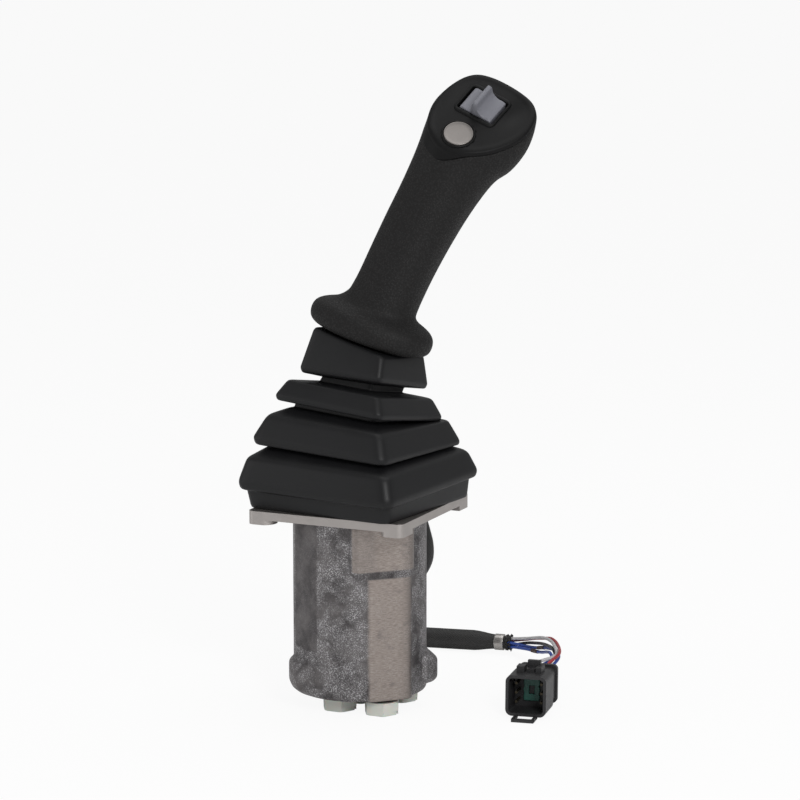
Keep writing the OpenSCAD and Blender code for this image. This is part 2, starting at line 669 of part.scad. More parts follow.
// Boot ring at a height above the plate: it twists and leans more the higher it lies
function boot_yaw(h) = -boot_twist * pow(min(1, h / 75), 0.6);
function boot_tilt(h) = boot_lean * pow(max(0, (h - 16) / 60), 0.7) + 0.3 * max(0, h - 82);
function boot_shift(h) = 0.9 * sin(180 * min(1, max(0, h - 16) / 42)) + 0.05 * max(0, h - 50)
    + 0.0012 * pow(max(0, h - 60), 2);
function turn_z(p, a) = [p[0] * cos(a) - p[1] * sin(a), p[0] * sin(a) + p[1] * cos(a), p[2]];
function turn_y(p, a) = [p[0] * cos(a) + p[2] * sin(a), p[1], -p[0] * sin(a) + p[2] * cos(a)];
function boot_ring(h, half) = [
    for (p = corner_ring(half, max(3, half * boot_corner), boot_side, 0))
        turn_z(turn_y(turn_z(turn_z(p, boot_yaw(h)), -lean_az), boot_tilt(h)) + [boot_shift(h), 0, 0], lean_az)
            + [0, 0, plate_top + h]
];
module boot() {
    rings = concat([for (b = BOOT_OUT) boot_ring(b[0], b[1])], [for (b = BOOT_IN) boot_ring(b[0], b[1])]);
    n = len(rings[0]);
    color(rubber) polyhedron(points = [for (r = rings, p = r) p], faces = loop_faces(len(rings), n),
        convexity = 10);
}

// Whole hand grip before it is parted: the shank, the head and the hand rest at its foot
module grip_solid() {
    loft([for (g = GRIP) egg_ring(g[0] * grip_h, g[1], g[2], g[3], g[4], grip_side, 0.86, g[5])]);
    REST = [
        [-0.58, 0.52], [-0.54, 0.72], [-0.46, 0.87], [-0.32, 0.96], [-0.12, 1], [0.12, 1], [0.32, 0.965],
        [0.45, 0.875], [0.54, 0.74], [0.70, 0.64], [1.0, 0.56], [1.3, 0.50]
    ];
    translate([0.6, 0, 0]) rotate([0, -rest_tilt, 0])
        loft([for (s = REST) egg_ring(s[0] * rest_t, rest_w / 2 * s[1], rest_w / 2 * s[1],
            rest_d / 2 * s[1], rest_d / 2 * s[1], grip_side, 0.92, 0.92)]);
}
// Half spaces outside the switch panel's face, and outside the plane that parts the cap from the shell
module half_space() {
    translate([-80, -120, 0]) cube([160, 240, 120]);
}
module above_panel() {
    translate([0, panel_y, panel_z]) rotate([panel_tilt, 0, 0]) half_space();
}
module above_parting() {
    translate([0, panel_y, panel_z]) rotate([panel_tilt, 0, 0]) translate([0, 0, -cap_t]) rotate(cap_lean)
        half_space();
}
// Room for the switches behind the panel's face, down to a depth
module switch_room(depth, play) {
    translate([0, panel_y, panel_z]) rotate([panel_tilt, 0, 0]) {
        translate([-bezel_w / 2 - play, -bezel_l / 2 - play, -depth])
            cube([bezel_w + 2 * play, bezel_l + 2 * play, depth + 2]);
        translate([0, -button_down, -depth]) cylinder(r = ring_r + play, h = depth + 2);
    }
}
module grip_shell() {
    color(soft_black) grip_frame() difference() {
        grip_solid();
        above_parting();
        translate([0, 0, -30]) cylinder(r = core_r + seat, h = 30 + core_h + 6);
        switch_room(pocket_depth, pocket_play);
        translate([0, 0, core_h])
            cylinder(r = lead_bore_r, h = panel_z - core_h - pocket_depth / cos(panel_tilt) + 2);
    }
}
module grip_core() {
    color(grey_plastic) grip_frame() difference() {
        translate([0, 0, -core_drop]) cylinder(r = core_r, h = core_h + core_drop);
        cylinder(r = rod_r + seat, h = core_h + 1);
        // Room for the end of the rod's bend
        translate([0, 0, -core_drop - 1]) cylinder(r = rod_r + 1, h = core_drop + 2);
    }
}
module switch_panel() {
    color(gloss_black) grip_frame() difference() {
        intersection() {
            grip_solid();
            above_parting();
        }
        above_panel();
        switch_room(pocket_depth, seat);
    }
}
module rocker_bezel() {
    color(gloss_black) panel_frame() difference() {
        translate([-bezel_w / 2, -bezel_l / 2, -cap_t]) cube([bezel_w, bezel_l, cap_t + bezel_up]);
        translate([-bezel_in_w / 2, -bezel_in_l / 2, -cap_t - 1])
            cube([bezel_in_w, bezel_in_l, cap_t + bezel_up + 2]);
        translate([0, -bezel_l, rocker_axis]) rotate([-90, 0, 0]) cylinder(r = pin_r + seat, h = 2 * bezel_l);
    }
}
module rocker_base() {
    color(gloss_black) panel_frame() difference() {
        translate([-bezel_w / 2, -bezel_l / 2, -base_depth - base_floor])
            cube([bezel_w, bezel_l, base_depth + base_floor - cap_t]);
        translate([-bezel_in_w / 2, -bezel_in_l / 2, -base_depth])
            cube([bezel_in_w, bezel_in_l, base_depth - cap_t + 1]);
    }
}
module rocker_pin() {
    color(steel) panel_frame() translate([0, -bezel_l / 2, rocker_axis]) rotate([-90, 0, 0])
        cylinder(r = pin_r, h = bezel_l);
}
// Rocker: a drum about the pin, a dished top and a thin thumb fin along the pin
module thumb_rocker() {
    half = rocker_w / 2;
    top = 1.5 - rocker_axis;
    fin = fin_h - rocker_axis;
    color(grey_plastic) panel_frame() translate([0, rocker_l / 2, rocker_axis]) rotate([90, 0, 0]) difference() {
        linear_extrude(rocker_l) difference() {
            intersection() {
                polygon([
                    [-half, -rocker_reach * 0.5], [half, -rocker_reach * 0.5], [half, top], [half - 3, top + 0.5],
                    [half - 6, top + 1.4], [2.6, top + 3.6], [1.6, fin - 1.5], [1.1, fin - 0.4], [0.4, fin],
                    [-0.4, fin], [-1.1, fin - 0.4], [-1.6, fin - 1.5], [-2.6, top + 3.6], [-half + 6, top + 1.4],
                    [-half + 3, top + 0.5], [-half, top]
                ]);
                circle(r = max(fin + 1, rocker_reach));
            }
            circle(r = pin_r + run);
        }
        // The fin falls away towards the button
        translate([-half - 1, top + 2.5, rocker_l]) rotate([-62, 0, 0]) cube([rocker_w + 2, fin_h * 2, fin_h * 2]);
    }
}
module button_ring() {
    color(gloss_black) panel_frame() translate([0, -button_down, -ring_depth])
        ring(ring_r, button_r + run, ring_depth + 0.5);
}
module push_button() {
    color([0.62, 0.60, 0.58]) panel_frame() translate([0, -button_down, button_up - button_h])
        rotate_extrude() polygon([
            [0, 0], [button_r, 0], [button_r, button_h - 0.4], [button_r - 0.4, button_h],
            [button_r - 1.4, button_h], [button_r - 4, button_h - 0.45], [0, button_h - 0.6]
        ]);
}
module button_spring() {
    color(steel) panel_frame() translate([0, -button_down, 0])
        spring(button_up - button_h - spring_space, button_up - button_h, 5, 0.8, 3);
}
module button_switch() {
    top = button_up - button_h - spring_space;
    color(gloss_black) panel_frame() translate([0, -button_down, 0]) {
        translate([-ring_r * 0.75, -ring_r * 0.6, top - switch_h])
            cube([ring_r * 1.5, ring_r * 1.2, switch_h]);
        translate([0, 0, top - 1]) cylinder(r = 1.6, h = spring_space - button_travel);
    }
}

module harness_sleeve() {
    color(rubber) tube(SLEEVE, sleeve_d / 2, 10);
}
module sleeve_clamp() {
    last = SLEEVE[len(SLEEVE) - 1];
    h = last - SLEEVE[len(SLEEVE) - 2];
    color(machined) translate(last) rotate([0, 0, atan2(h[1], h[0])]) rotate([0, 90, 0])
        ring(sleeve_d / 2 + clamp_t, sleeve_d / 2 - 1.4, clamp_w);
}
module wire(bundle_angle, route, side, row, tint) {
    color(tint) tube(concat(lead_out(bundle_angle), route, plug_in(side, row)), wire_d / 2, 8);
}
module wire_white() {
    wire(90, WIRE_WHITE, -1, 0, [0.85, 0.85, 0.85]);
}
module wire_red() {
    wire(18, WIRE_RED, 1, 0, [0.65, 0.16, 0.20]);
}
module wire_blue_upper() {
    wire(162, WIRE_BLUE_UPPER, 1, 1, [0.20, 0.30, 0.65]);
}
module wire_blue_lower() {
    wire(234, WIRE_BLUE_LOWER, -1, 1, [0.20, 0.30, 0.65]);
}
module wire_black() {
    wire(-54, WIRE_BLACK, -1, 2, [0.08, 0.08, 0.08]);
}

// The connector's mouth faces its local -Y and its wires leave at +Y
module connector_frame() {
    translate([conn_at[0], conn_at[1], conn_z]) rotate([0, 0, conn_turn]) rotate([-conn_pitch, 0, 0]) children();
}
module soft_box(w, h, r, length) {
    rotate([-90, 0, 0]) linear_extrude(length) {
        square([w - 2 * r, h], center = true);
        square([w, h - 2 * r], center = true);
        for (x = [-1, 1], z = [-1, 1]) translate([x * (w / 2 - r), z * (h / 2 - r)]) circle(r = r);
    }
}
module connector_shell() {
    low = -mouth_w / 2;
    color(gloss_black) connector_frame() difference() {
        union() {
            soft_box(mouth_w, mouth_w, 4, mouth_depth + 3);
            translate([0, mouth_depth, 0]) soft_box(mouth_w - 3.5, mouth_w - 4, 3, conn_l - mouth_depth - 5);
            translate([0, conn_l - 8, 0]) soft_box(mouth_w - 1, mouth_w - 1, 3, 3);
            translate([0, conn_l - 6, 0]) soft_box(mouth_w - 4, mouth_w - 5, 3, 6);
            // Latch on top, with its side guides
            translate([-7.5, 9, mouth_w / 2 - 1]) cube([15, 5, 6]);
            translate([-3.5, 16, mouth_w / 2 - 1]) cube([9.5, 9, 7.5]);
            // Locking loop below the mouth
            translate([-6.5, -6, low - conn_lift]) cube([13, 9, 3]);
        }
        translate([0, -1, 0])
            soft_box(mouth_w - 2 * conn_wall, mouth_w - 2 * conn_wall, 4 - conn_wall, mouth_depth + 1);
        translate([0, conn_l - 10, 0]) soft_box(cell_w, cell_h, 2, 12);
        translate([-4.5, -4, low - conn_lift - 1]) cube([9, 4, 6]);
    }
}
module connector_wedge() {
    color([0.16, 0.36, 0.30]) connector_frame() translate([0, mouth_depth - 13, 0]) difference() {
        soft_box(11, 17, 1.5, 13);
        translate([-2.6, -1, -4]) cube([5.2, 9, 8]);
    }
}
module connector_pins() {
    color(steel) connector_frame() for (x = [-1, 1], z = [-1:1])
        translate([x * 7.6, mouth_depth - 10, z * 5.6]) rotate([-90, 0, 0]) cylinder(r = 0.8, h = 10);
}
module connector_seal() {
    color([0.16, 0.36, 0.30]) connector_frame() translate([0, conn_l - 10, 0])
        soft_box(cell_w - 2 * seat, cell_h - 2 * seat, 2 - seat, seal_face - conn_l + 10);
}

mounting_plate();
valve_body();
retainer_plate();
retainer_screws();
guide_bushes();
wiper_seals();
lower_yoke();
lower_yoke_bushes();
port_plugs();
plug_seals();
cable_grommet();
boot();
gimbal_cross();
upper_yoke();
upper_yoke_bushes();
swash_disc();
lock_nut();
lever_rod();
grip_core();
grip_shell();
switch_panel();
rocker_bezel();
rocker_base();
rocker_pin();
thumb_rocker();
button_ring();
button_switch();
push_button();
button_spring();
plunger(0);  // plunger_right
plunger(1);  // plunger_left
plunger(2);  // plunger_rear
plunger(3);  // plunger_front
return_spring(0);  // return_spring_right
return_spring(1);  // return_spring_left
return_spring(2);  // return_spring_rear
return_spring(3);  // return_spring_front
control_spring(0);  // control_spring_right
control_spring(1);  // control_spring_left
control_spring(2);  // control_spring_rear
control_spring(3);  // control_spring_front
spool(0);  // spool_right
spool(1);  // spool_left
spool(2);  // spool_rear
spool(3);  // spool_front
harness_sleeve();
sleeve_clamp();
wire_white();
wire_red();
wire_blue_upper();
wire_blue_lower();
wire_black();
connector_shell();
connector_wedge();
connector_pins();
connector_seal();
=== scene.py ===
"""Looks of the hydraulic pilot joystick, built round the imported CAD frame. Metres, +Z up."""
import json
import math

import bmesh
import bpy
from mathutils import Matrix, Vector


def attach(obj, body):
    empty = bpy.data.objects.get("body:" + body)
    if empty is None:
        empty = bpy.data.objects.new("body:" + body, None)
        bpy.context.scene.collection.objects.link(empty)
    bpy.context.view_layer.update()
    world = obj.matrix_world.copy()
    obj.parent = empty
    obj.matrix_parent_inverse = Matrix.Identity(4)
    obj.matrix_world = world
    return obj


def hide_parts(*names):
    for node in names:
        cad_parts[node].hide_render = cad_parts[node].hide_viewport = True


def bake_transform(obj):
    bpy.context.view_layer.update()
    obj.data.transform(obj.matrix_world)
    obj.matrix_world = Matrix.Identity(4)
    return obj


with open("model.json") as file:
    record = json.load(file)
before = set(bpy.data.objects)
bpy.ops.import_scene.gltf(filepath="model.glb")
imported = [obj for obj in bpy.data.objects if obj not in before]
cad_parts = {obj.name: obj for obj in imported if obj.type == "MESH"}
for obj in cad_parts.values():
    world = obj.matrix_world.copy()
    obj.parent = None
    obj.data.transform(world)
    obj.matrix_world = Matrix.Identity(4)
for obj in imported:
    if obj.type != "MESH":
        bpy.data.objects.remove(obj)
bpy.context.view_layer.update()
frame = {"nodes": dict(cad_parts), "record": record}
node = frame["nodes"]
MM = 0.001
GROUND = -115 * MM


def mm(*values):
    """Vector from millimetres."""
    return Vector(values) * MM


def ease(t):
    """Smooth step from 0 to 1, held level outside them."""
    t = min(1, max(0, t))
    return t * t * (3 - 2 * t)


# Camera, at the photograph's place
camera_data = bpy.data.cameras.new("camera")
camera_data.lens = 135.7
camera_data.sensor_width = 36
camera_data.clip_end = 20
camera = bpy.data.objects.new("camera", camera_data)
bpy.context.scene.collection.objects.link(camera)
camera_right = Vector((0.91140, 0.41151, 0))
camera_up = Vector((-0.07089, 0.15701, 0.98505))
camera.matrix_world = Matrix.LocRotScale(mm(747.50, -1597.21, 378.07), Matrix((
    camera_right, camera_up, camera_right.cross(camera_up))).transposed().to_quaternion(), None)
bpy.context.scene.camera = camera
bpy.context.scene.view_settings.view_transform = "Standard"


# Frames of the grip and of its switch panel, heights on the casting's front bosses, and where they face
GRIP_FRAME = Matrix.Translation(mm(5.94, 3.60, 115.01)) @ Matrix.Rotation(math.radians(24.3), 4, "Y") @ \
    Matrix.Rotation(math.radians(-14), 4, "X")
PANEL = GRIP_FRAME @ Matrix.Translation(mm(0, -4.7, 144.5)) @ Matrix.Rotation(math.radians(54), 4, "X")
BUTTON_DOWN, BUTTON_R, RING_R = -26, 8.8, 10.1
PAD_LOW, LEDGE_LOW = -25.2, -30.5
FRONT_TURN, FLAT_TURN = -45, -122


# Shader maths: a Level is a socket whose sums and products add Math nodes
class Level:
    def __init__(self, tree, socket):
        self.tree, self.socket = tree, socket

    def math(self, operation, *others):
        maths = self.tree.nodes.new("ShaderNodeMath")
        maths.operation = operation
        for place, value in enumerate((self, *others)):
            plug_in(self.tree, maths.inputs[place], value)
        return Level(self.tree, maths.outputs[0])

    def flipped(self, operation, other):
        maths = self.tree.nodes.new("ShaderNodeMath")
        maths.operation = operation
        plug_in(self.tree, maths.inputs[0], other)
        plug_in(self.tree, maths.inputs[1], self)
        return Level(self.tree, maths.outputs[0])

    def __add__(self, other):
        return self.math("ADD", other)

    def __sub__(self, other):
        return self.math("SUBTRACT", other)

    def __mul__(self, other):
        return self.math("MULTIPLY", other)

    def __rsub__(self, other):
        return self.flipped("SUBTRACT", other)

    __radd__, __rmul__ = __add__, __mul__

    def between(self, low, high):
        """0 below low, 1 above high and a smooth step between them."""
        step = self.tree.nodes.new("ShaderNodeMapRange")
        step.interpolation_type = "SMOOTHSTEP"
        for place, value in enumerate((self, low, high, 0, 1)):
            plug_in(self.tree, step.inputs[place], value)
        return Level(self.tree, step.outputs[0])


def plug_in(tree, socket, value):
    """Links a level to a socket, or sets the socket to a number, colour or vector."""
    if isinstance(value, Level):
        tree.links.new(value.socket, socket)
    elif isinstance(value, tuple) and len(value) == 3 and len(socket.default_value) == 4:
        socket.default_value = (*value, 1)
    else:
        socket.default_value = value


class Finish:
    """One material: a Principled shader and the nodes that vary it over the surface."""

    def __init__(self, name, colour, roughness, **sockets):
        self.material = bpy.data.materials.new(name)
        self.material.use_nodes = True
        self.tree = self.material.node_tree
        self.shader = self.tree.nodes["Principled BSDF"]
        self.set("Base Color", colour)
        self.set("Roughness", roughness)
        for key, value in sockets.items():
            self.set(key.replace("_", " "), value)

    def set(self, socket, value):
        plug_in(self.tree, self.shader.inputs[socket], value)

    def add(self, kind, settings=None, output=0, **inputs):
        made = self.tree.nodes.new("ShaderNode" + kind)
        for key, value in (settings or {}).items():
            setattr(made, key, value)
        for key, value in inputs.items():
            plug_in(self.tree, made.inputs[key.replace("_", " ")], value)
        return Level(self.tree, made.outputs[output])

    def place(self, scale=(1, 1, 1)):
        """The piece's own coordinates in metres, stretched by scale."""
        return self.add("Mapping", Vector=self.add("TexCoord", output="Object"), Scale=scale)

    def noise(self, size, detail=3, rough=0.5, where=None, warp=0):
        """Cloudy noise from 0 to 1 with blots of about size millimetres."""
        return self.add("TexNoise", Vector=where or self.place(), Scale=1 / (size * MM), Detail=detail,
                        Roughness=rough, Distortion=warp)

    def mix(self, share, low, high):
        blend = self.tree.nodes.new("ShaderNodeMix")
        blend.data_type = "RGBA"
        for place, value in ((0, share), (6, low), (7, high)):
            plug_in(self.tree, blend.inputs[place], value)
        return Level(self.tree, blend.outputs[2])

    def bump(self, height, depth):
        """Height from 0 to 1 stands for depth millimetres."""
        self.set("Normal", self.add("Bump", Height=height, Distance=depth * MM))


def grained(name, colour, roughness, grain=0.4, depth=0.05, vary=0.25, **sockets):
    """Moulded plastic or rubber with a fine grain and slight clouding."""
    finish = Finish(name, colour, roughness, **sockets)
    cloud = finish.noise(18, 4)
    fine = finish.noise(grain, 2)
    lighter = tuple(min(1, c * (1 + vary) + 0.001) for c in colour)
    finish.set("Base Color", finish.mix(cloud, colour, lighter))
    finish.set("Roughness", roughness - 0.08 + cloud * 0.16)
    finish.bump(fine, depth)
    return finish.material


def metal(name, colour, roughness, scratch=(1, 1, 1), grain=0.5, depth=0.02, **sockets):
    """Machined metal: tool marks drawn out along one axis."""
    finish = Finish(name, colour, roughness, Metallic=1.0, **sockets)
    marks = finish.noise(grain, 3, where=finish.place(scratch))
    cloud = finish.noise(12, 4)
    darker = tuple(c * 0.78 for c in colour)
    finish.set("Base Color", finish.mix(cloud, colour, darker))
    finish.set("Roughness", roughness - 0.1 + marks * 0.16 + cloud * 0.08)
    finish.bump(marks, depth)
    return finish.material


def leather_grain():
    """Moulded grip skin: fine pebbles that break the highlight into specks, their crowns also painted lighter as
    painted highlight specks.
    """
    finish = Finish("grip black", (0.008, 0.0076, 0.0076), 0.5, Specular_IOR_Level=0.34)
    pebble = finish.add("TexVoronoi", Vector=finish.place(), Scale=1 / (1.1 * MM), Randomness=1.0)
    fine = finish.noise(0.5, 2)
    cloud = finish.noise(15, 3)
    crown = (1 - pebble).between(0.35, 0.95)
    # Painted highlight: the pebble crowns are painted lighter so the specks show under any light.
    finish.set("Base Color", finish.mix(crown * (fine * 0.7 + 0.3), (0.0058, 0.0054, 0.0054), (0.0135, 0.013, 0.013)))
    finish.set("Roughness", 0.68 - crown * 0.22 + cloud * 0.06)
    finish.bump(crown * 0.7 + fine * 0.3, 0.16)
    return finish.material


def casting_finish():
    """Shot-blasted casting with pale speckle, and milled marks where the front bosses stand proud; painted shade
    darkens the milled faces toward their rounded edges.
    """
    finish = Finish("cast body", (0.15, 0.145, 0.147), 0.5, Metallic=1.0)
    parts = finish.tree.nodes.new("ShaderNodeSeparateXYZ")
    finish.tree.links.new(finish.add("TexCoord", output="Object").socket, parts.inputs[0])
    x, y, z = (Level(finish.tree, parts.outputs[k]) * (1 / MM) for k in range(3))
    cloud, fine = finish.noise(14, 4, 0.6), finish.noise(0.6, 3, 0.7)
    reach = (x - y) * math.sqrt(0.5) + (cloud - 0.5) * 1.2 + (fine - 0.5) * 0.8
    ledge = z.between(LEDGE_LOW - 0.6, LEDGE_LOW + 0.6) * (1 - z.between(PAD_LOW - 0.8, PAD_LOW + 0.5))
    milled = reach.between(38.9, 40.6) * (1 - ledge)
    # Painted shade: the milled faces darken toward the rounded right edges of pad and boss, and over the pad's left
    # end.
    across = (x + y) * math.sqrt(0.5) + (cloud - 0.5) * 6
    darkened = across.between(9, 19) * 0.55 + (1 - across.between(-9, -3)) * z.between(-26, -24) * 0.3
    turn = math.radians(FLAT_TURN)
    plain = (x * math.cos(turn) + y * math.sin(turn)).between(37.9, 38.3) * z.between(-78, -76)
    patch = finish.noise(12, 4, 0.6, warp=0.5)
    dust = patch.between(0.34, 0.62) * (1 - plain * 0.85)
    speckle = fine.between(0.50, 0.62) * (dust * 0.8 + 0.04)
    lines = finish.noise(0.3, 3, where=finish.place((0.12, 0.12, 1)))
    smear = finish.noise(7, 4, 0.6, where=finish.place((0.6, 0.6, 1)))
    base = finish.mix(cloud.between(0.3, 0.7), (0.092, 0.086, 0.088), (0.19, 0.178, 0.178))
    skin = finish.mix(speckle, finish.mix(dust * 0.5, base, (0.24, 0.23, 0.235)), (0.72, 0.71, 0.72))
    cut = finish.mix(lines.between(0.3, 0.7), (0.29, 0.25, 0.228), (0.46, 0.402, 0.368))
    cut = finish.mix(smear.between(0.54, 0.74) * 0.6, cut, (0.20, 0.18, 0.178))
    # painted shade mixed into the milled colour
    cut = finish.mix(darkened, cut, (0.17, 0.155, 0.152))
    cut = finish.mix(speckle * 0.5, cut, (0.52, 0.49, 0.47))
    finish.set("Base Color", finish.mix(milled, skin, cut))
    finish.set("Roughness", 0.56 - milled * 0.14 + fine * 0.1)
    finish.bump(fine * (1 - milled) * 0.8 + lines * milled * 0.25 + patch * 0.6, 0.22)
    return finish.material


def braid_finish():
    """Braided sleeving: two sets of strands that cross, drawn from the tube's own UV."""
    finish = Finish("braided sleeve", (0.012, 0.012, 0.012), 0.55)
    parts = finish.tree.nodes.new("ShaderNodeSeparateXYZ")
    finish.tree.links.new(finish.add("TexCoord", output="UV").socket, parts.inputs[0])
    turn, run = Level(finish.tree, parts.outputs[0]), Level(finish.tree, parts.outputs[1])
    one = (turn * 26 + run * 0.55).math("FRACT")
    other = (turn * 26 - run * 0.55).math("FRACT")
    strand = ((one - 0.5).math("ABSOLUTE") * -2 + 1).between(0.1, 0.75)
    across = ((other - 0.5).math("ABSOLUTE") * -2 + 1).between(0.1, 0.75)
    over = strand.math("MAXIMUM", across * 0.8)
    cloud = finish.noise(9, 4)
    finish.set("Base Color", finish.mix(over * (cloud * 0.6 + 0.4), (0.004, 0.004, 0.004), (0.035, 0.034, 0.033)))
    finish.set("Roughness", 0.7 - over * 0.25)
    finish.bump(over, 0.35)
    return finish.material


def button_finish():
    """Satin steel turned in rings round the button's middle."""
    finish = Finish("button metal", (0.26, 0.243, 0.23), 0.4, Metallic=1.0)
    middle = PANEL @ mm(0, BUTTON_DOWN, 0)
    away = finish.add("VectorMath", {"operation": "DISTANCE"}, output=1, Vector=finish.add("TexCoord", output="Object"))
    measure = away.socket.node
    measure.inputs[1].default_value = middle
    turns = finish.tree.nodes.new("ShaderNodeTexNoise")
    turns.noise_dimensions = "1D"
    plug_in(finish.tree, turns.inputs["W"], away * 3200)
    rings = Level(finish.tree, turns.outputs[0])
    cloud = finish.noise(5, 3)
    dot = 1 - away.between(0.35 * MM, 0.6 * MM)
    shade = finish.mix(rings.between(0.3, 0.7), (0.225, 0.21, 0.2), (0.27, 0.252, 0.24))
    finish.set("Base Color", finish.mix(cloud * 0.3 + dot * 0.5, shade, (0.15, 0.14, 0.135)))
    finish.set("Roughness", 0.38 + rings * 0.12)
    return finish.material


finishes = {
    "machined_steel": metal("machined steel", (0.53, 0.495, 0.475), 0.42, (0.12, 0.12, 1), 0.5, 0.05),
    "cast_body": casting_finish(),
    "steel": metal("steel", (0.42, 0.42, 0.43), 0.35),
    "spring_steel": metal("spring steel", (0.35, 0.35, 0.37), 0.35),
    "bronze": metal("bronze", (0.45, 0.27, 0.12), 0.35),
    "boot_rubber": grained("boot rubber", (0.0062, 0.0063, 0.007), 0.46, 0.5, 0.02, 0.5, Specular_IOR_Level=0.3),
    "seal_rubber": grained("seal rubber", (0.008, 0.008, 0.008), 0.5, Specular_IOR_Level=0.3),
    "milky_plastic": grained("milky plastic", (0.70, 0.71, 0.655), 0.4, 1.0, 0.01, 0.05,
                             Subsurface_Weight=0.2, Subsurface_Scale=0.003),
    "grip_black": leather_grain(),
    "core_plastic": grained("core plastic", (0.10, 0.10, 0.105), 0.5),
    "panel_black": grained("panel black", (0.0048, 0.0048, 0.005), 0.5, 0.3, 0.01, Specular_IOR_Level=0.16),
    "rocker_grey": grained("rocker grey", (0.185, 0.187, 0.212), 0.45, 0.4, 0.015, 0.05, Specular_IOR_Level=0.3),
    "button_metal": button_finish(),
    "braid": braid_finish(),
    "clamp_metal": metal("clamp metal", (0.50, 0.48, 0.46), 0.35),
    "wire_white": grained("wire white", (0.55, 0.54, 0.55), 0.35, vary=0.03),
    "wire_red": grained("wire red", (0.36, 0.022, 0.028), 0.35, vary=0.05),
    "wire_blue": grained("wire blue", (0.024, 0.065, 0.32), 0.35, vary=0.05),
    "wire_black": grained("wire black", (0.008, 0.008, 0.008), 0.35, Specular_IOR_Level=0.3),
    "connector_black": grained("connector black", (0.026, 0.0255, 0.027), 0.42, 0.3, 0.02, Specular_IOR_Level=0.35),
    "wedge_green": grained("wedge green", (0.020, 0.11, 0.085), 0.4, vary=0.05),
    "seal_green": grained("seal green", (0.020, 0.11, 0.085), 0.5, vary=0.05),
    "marker_brown": grained("marker brown", (0.055, 0.030, 0.024), 0.4, 0.4, 0.02),
}
slot_of = {part["node"]: part["material_slot"] for part in frame["record"]["subparts"]}
for name, piece in node.items():
    piece.data.materials.clear()
    piece.data.materials.append(finishes[slot_of[name]])


# Floor and studio light
def white_backdrop(name, colour, camera_share):
    """Pale cloth that the camera and shiny metal see partly as plain white."""
    backdrop = bpy.data.materials.new(name)
    backdrop.use_nodes = True
    tree = backdrop.node_tree
    tree.nodes.clear()
    cloth = tree.nodes.new("ShaderNodeBsdfDiffuse")
    cloth.inputs["Color"].default_value = (*colour, 1)
    glow = tree.nodes.new("ShaderNodeEmission")
    rays = tree.nodes.new("ShaderNodeLightPath")
    share = Level(tree, rays.outputs["Is Camera Ray"]) * camera_share
    mix = tree.nodes.new("ShaderNodeMixShader")
    plug_in(tree, mix.inputs[0], share)
    tree.links.new(cloth.outputs[0], mix.inputs[1])
    tree.links.new(glow.outputs[0], mix.inputs[2])
    tree.links.new(mix.outputs[0], tree.nodes.new("ShaderNodeOutputMaterial").inputs[0])
    return backdrop


ground = bmesh.new()
bmesh.ops.create_grid(ground, x_segments=1, y_segments=1, size=60)
bmesh.ops.translate(ground, vec=(0, 0, GROUND), verts=ground.verts)
floor_mesh = bpy.data.meshes.new("floor")
ground.to_mesh(floor_mesh)
ground.free()
floor = bpy.data.objects.new("floor", floor_mesh)
floor.data.materials.append(white_backdrop("floor cloth", (0.94, 0.94, 0.94), 0.92))
bpy.context.scene.collection.objects.link(floor)

world = bpy.data.worlds.new("studio")
bpy.context.scene.world = world
world.use_nodes = True
sky = world.node_tree
background = sky.nodes["Background"]
rays = sky.nodes.new("ShaderNodeLightPath")
seen = Level(sky, rays.outputs["Is Camera Ray"]) + Level(sky, rays.outputs["Is Transmission Ray"])
plug_in(sky, background.inputs["Strength"], seen.math("MINIMUM", 1) * 0.64 + 0.36)
plug_in(sky, background.inputs["Color"], (1, 1, 1))


def softbox(name, place, aim, size, power):
    """Rectangular studio lamp that faces a point."""
    data = bpy.data.lights.new(name, "AREA")
    data.shape = "RECTANGLE"
    data.size, data.size_y = size
    data.energy = power
    lamp = bpy.data.objects.new(name, data)
    lamp.location = place
    lamp.rotation_euler = (Vector(aim) - Vector(place)).to_track_quat("-Z", "Y").to_euler()
    bpy.context.scene.collection.objects.link(lamp)


softbox("key", (1.15, -1.15, 0.95), (0.03, 0, 0.05), (0.45, 0.6), 14)
softbox("fill", (-1.1, -0.8, 0.3), (0.03, 0, 0.02), (0.6, 1.2), 3)
softbox("top", (0.1, 0.3, 1.3), (0.03, 0, 0.0), (1.0, 1.0), 5)


def publish(mesh, name, material, smooth=True):
    """Turns a bmesh into an object at the origin."""
    data = bpy.data.meshes.new(name)
    mesh.to_mesh(data)
    mesh.free()
    data.materials.append(material)
    for face in data.polygons:
        face.use_smooth = smooth
    piece = bpy.data.objects.new(name, data)
    bpy.context.scene.collection.objects.link(piece)
    return piece


def baked(piece):
    """The piece's mesh after its modifiers, as a bmesh; the piece itself is removed."""
    bpy.context.view_layer.update()
    mesh = bmesh.new()
    mesh.from_mesh(piece.evaluated_get(bpy.context.evaluated_depsgraph_get()).to_mesh())
    data = piece.data
    bpy.data.objects.remove(piece)
    bpy.data.meshes.remove(data)
    return mesh


def carved(piece, tool, itself=False):
    """The piece's mesh with the tool's solid taken out, as a bmesh; the piece itself is removed."""
    cut = piece.modifiers.new("cut", "BOOLEAN")
    cut.object, cut.operation, cut.solver, cut.use_self = tool, "DIFFERENCE", "EXACT", itself
    return baked(piece)


def fused(piece, voxel, rubs):
    """The piece's forms as one skin, as a bmesh: voxels of so many millimetres, rubbed smooth."""
    skin = piece.modifiers.new("fused", "REMESH")
    skin.mode, skin.voxel_size = "VOXEL", voxel * MM
    rub = piece.modifiers.new("rub", "SMOOTH")
    rub.factor, rub.iterations = 0.5, rubs
    return baked(piece)


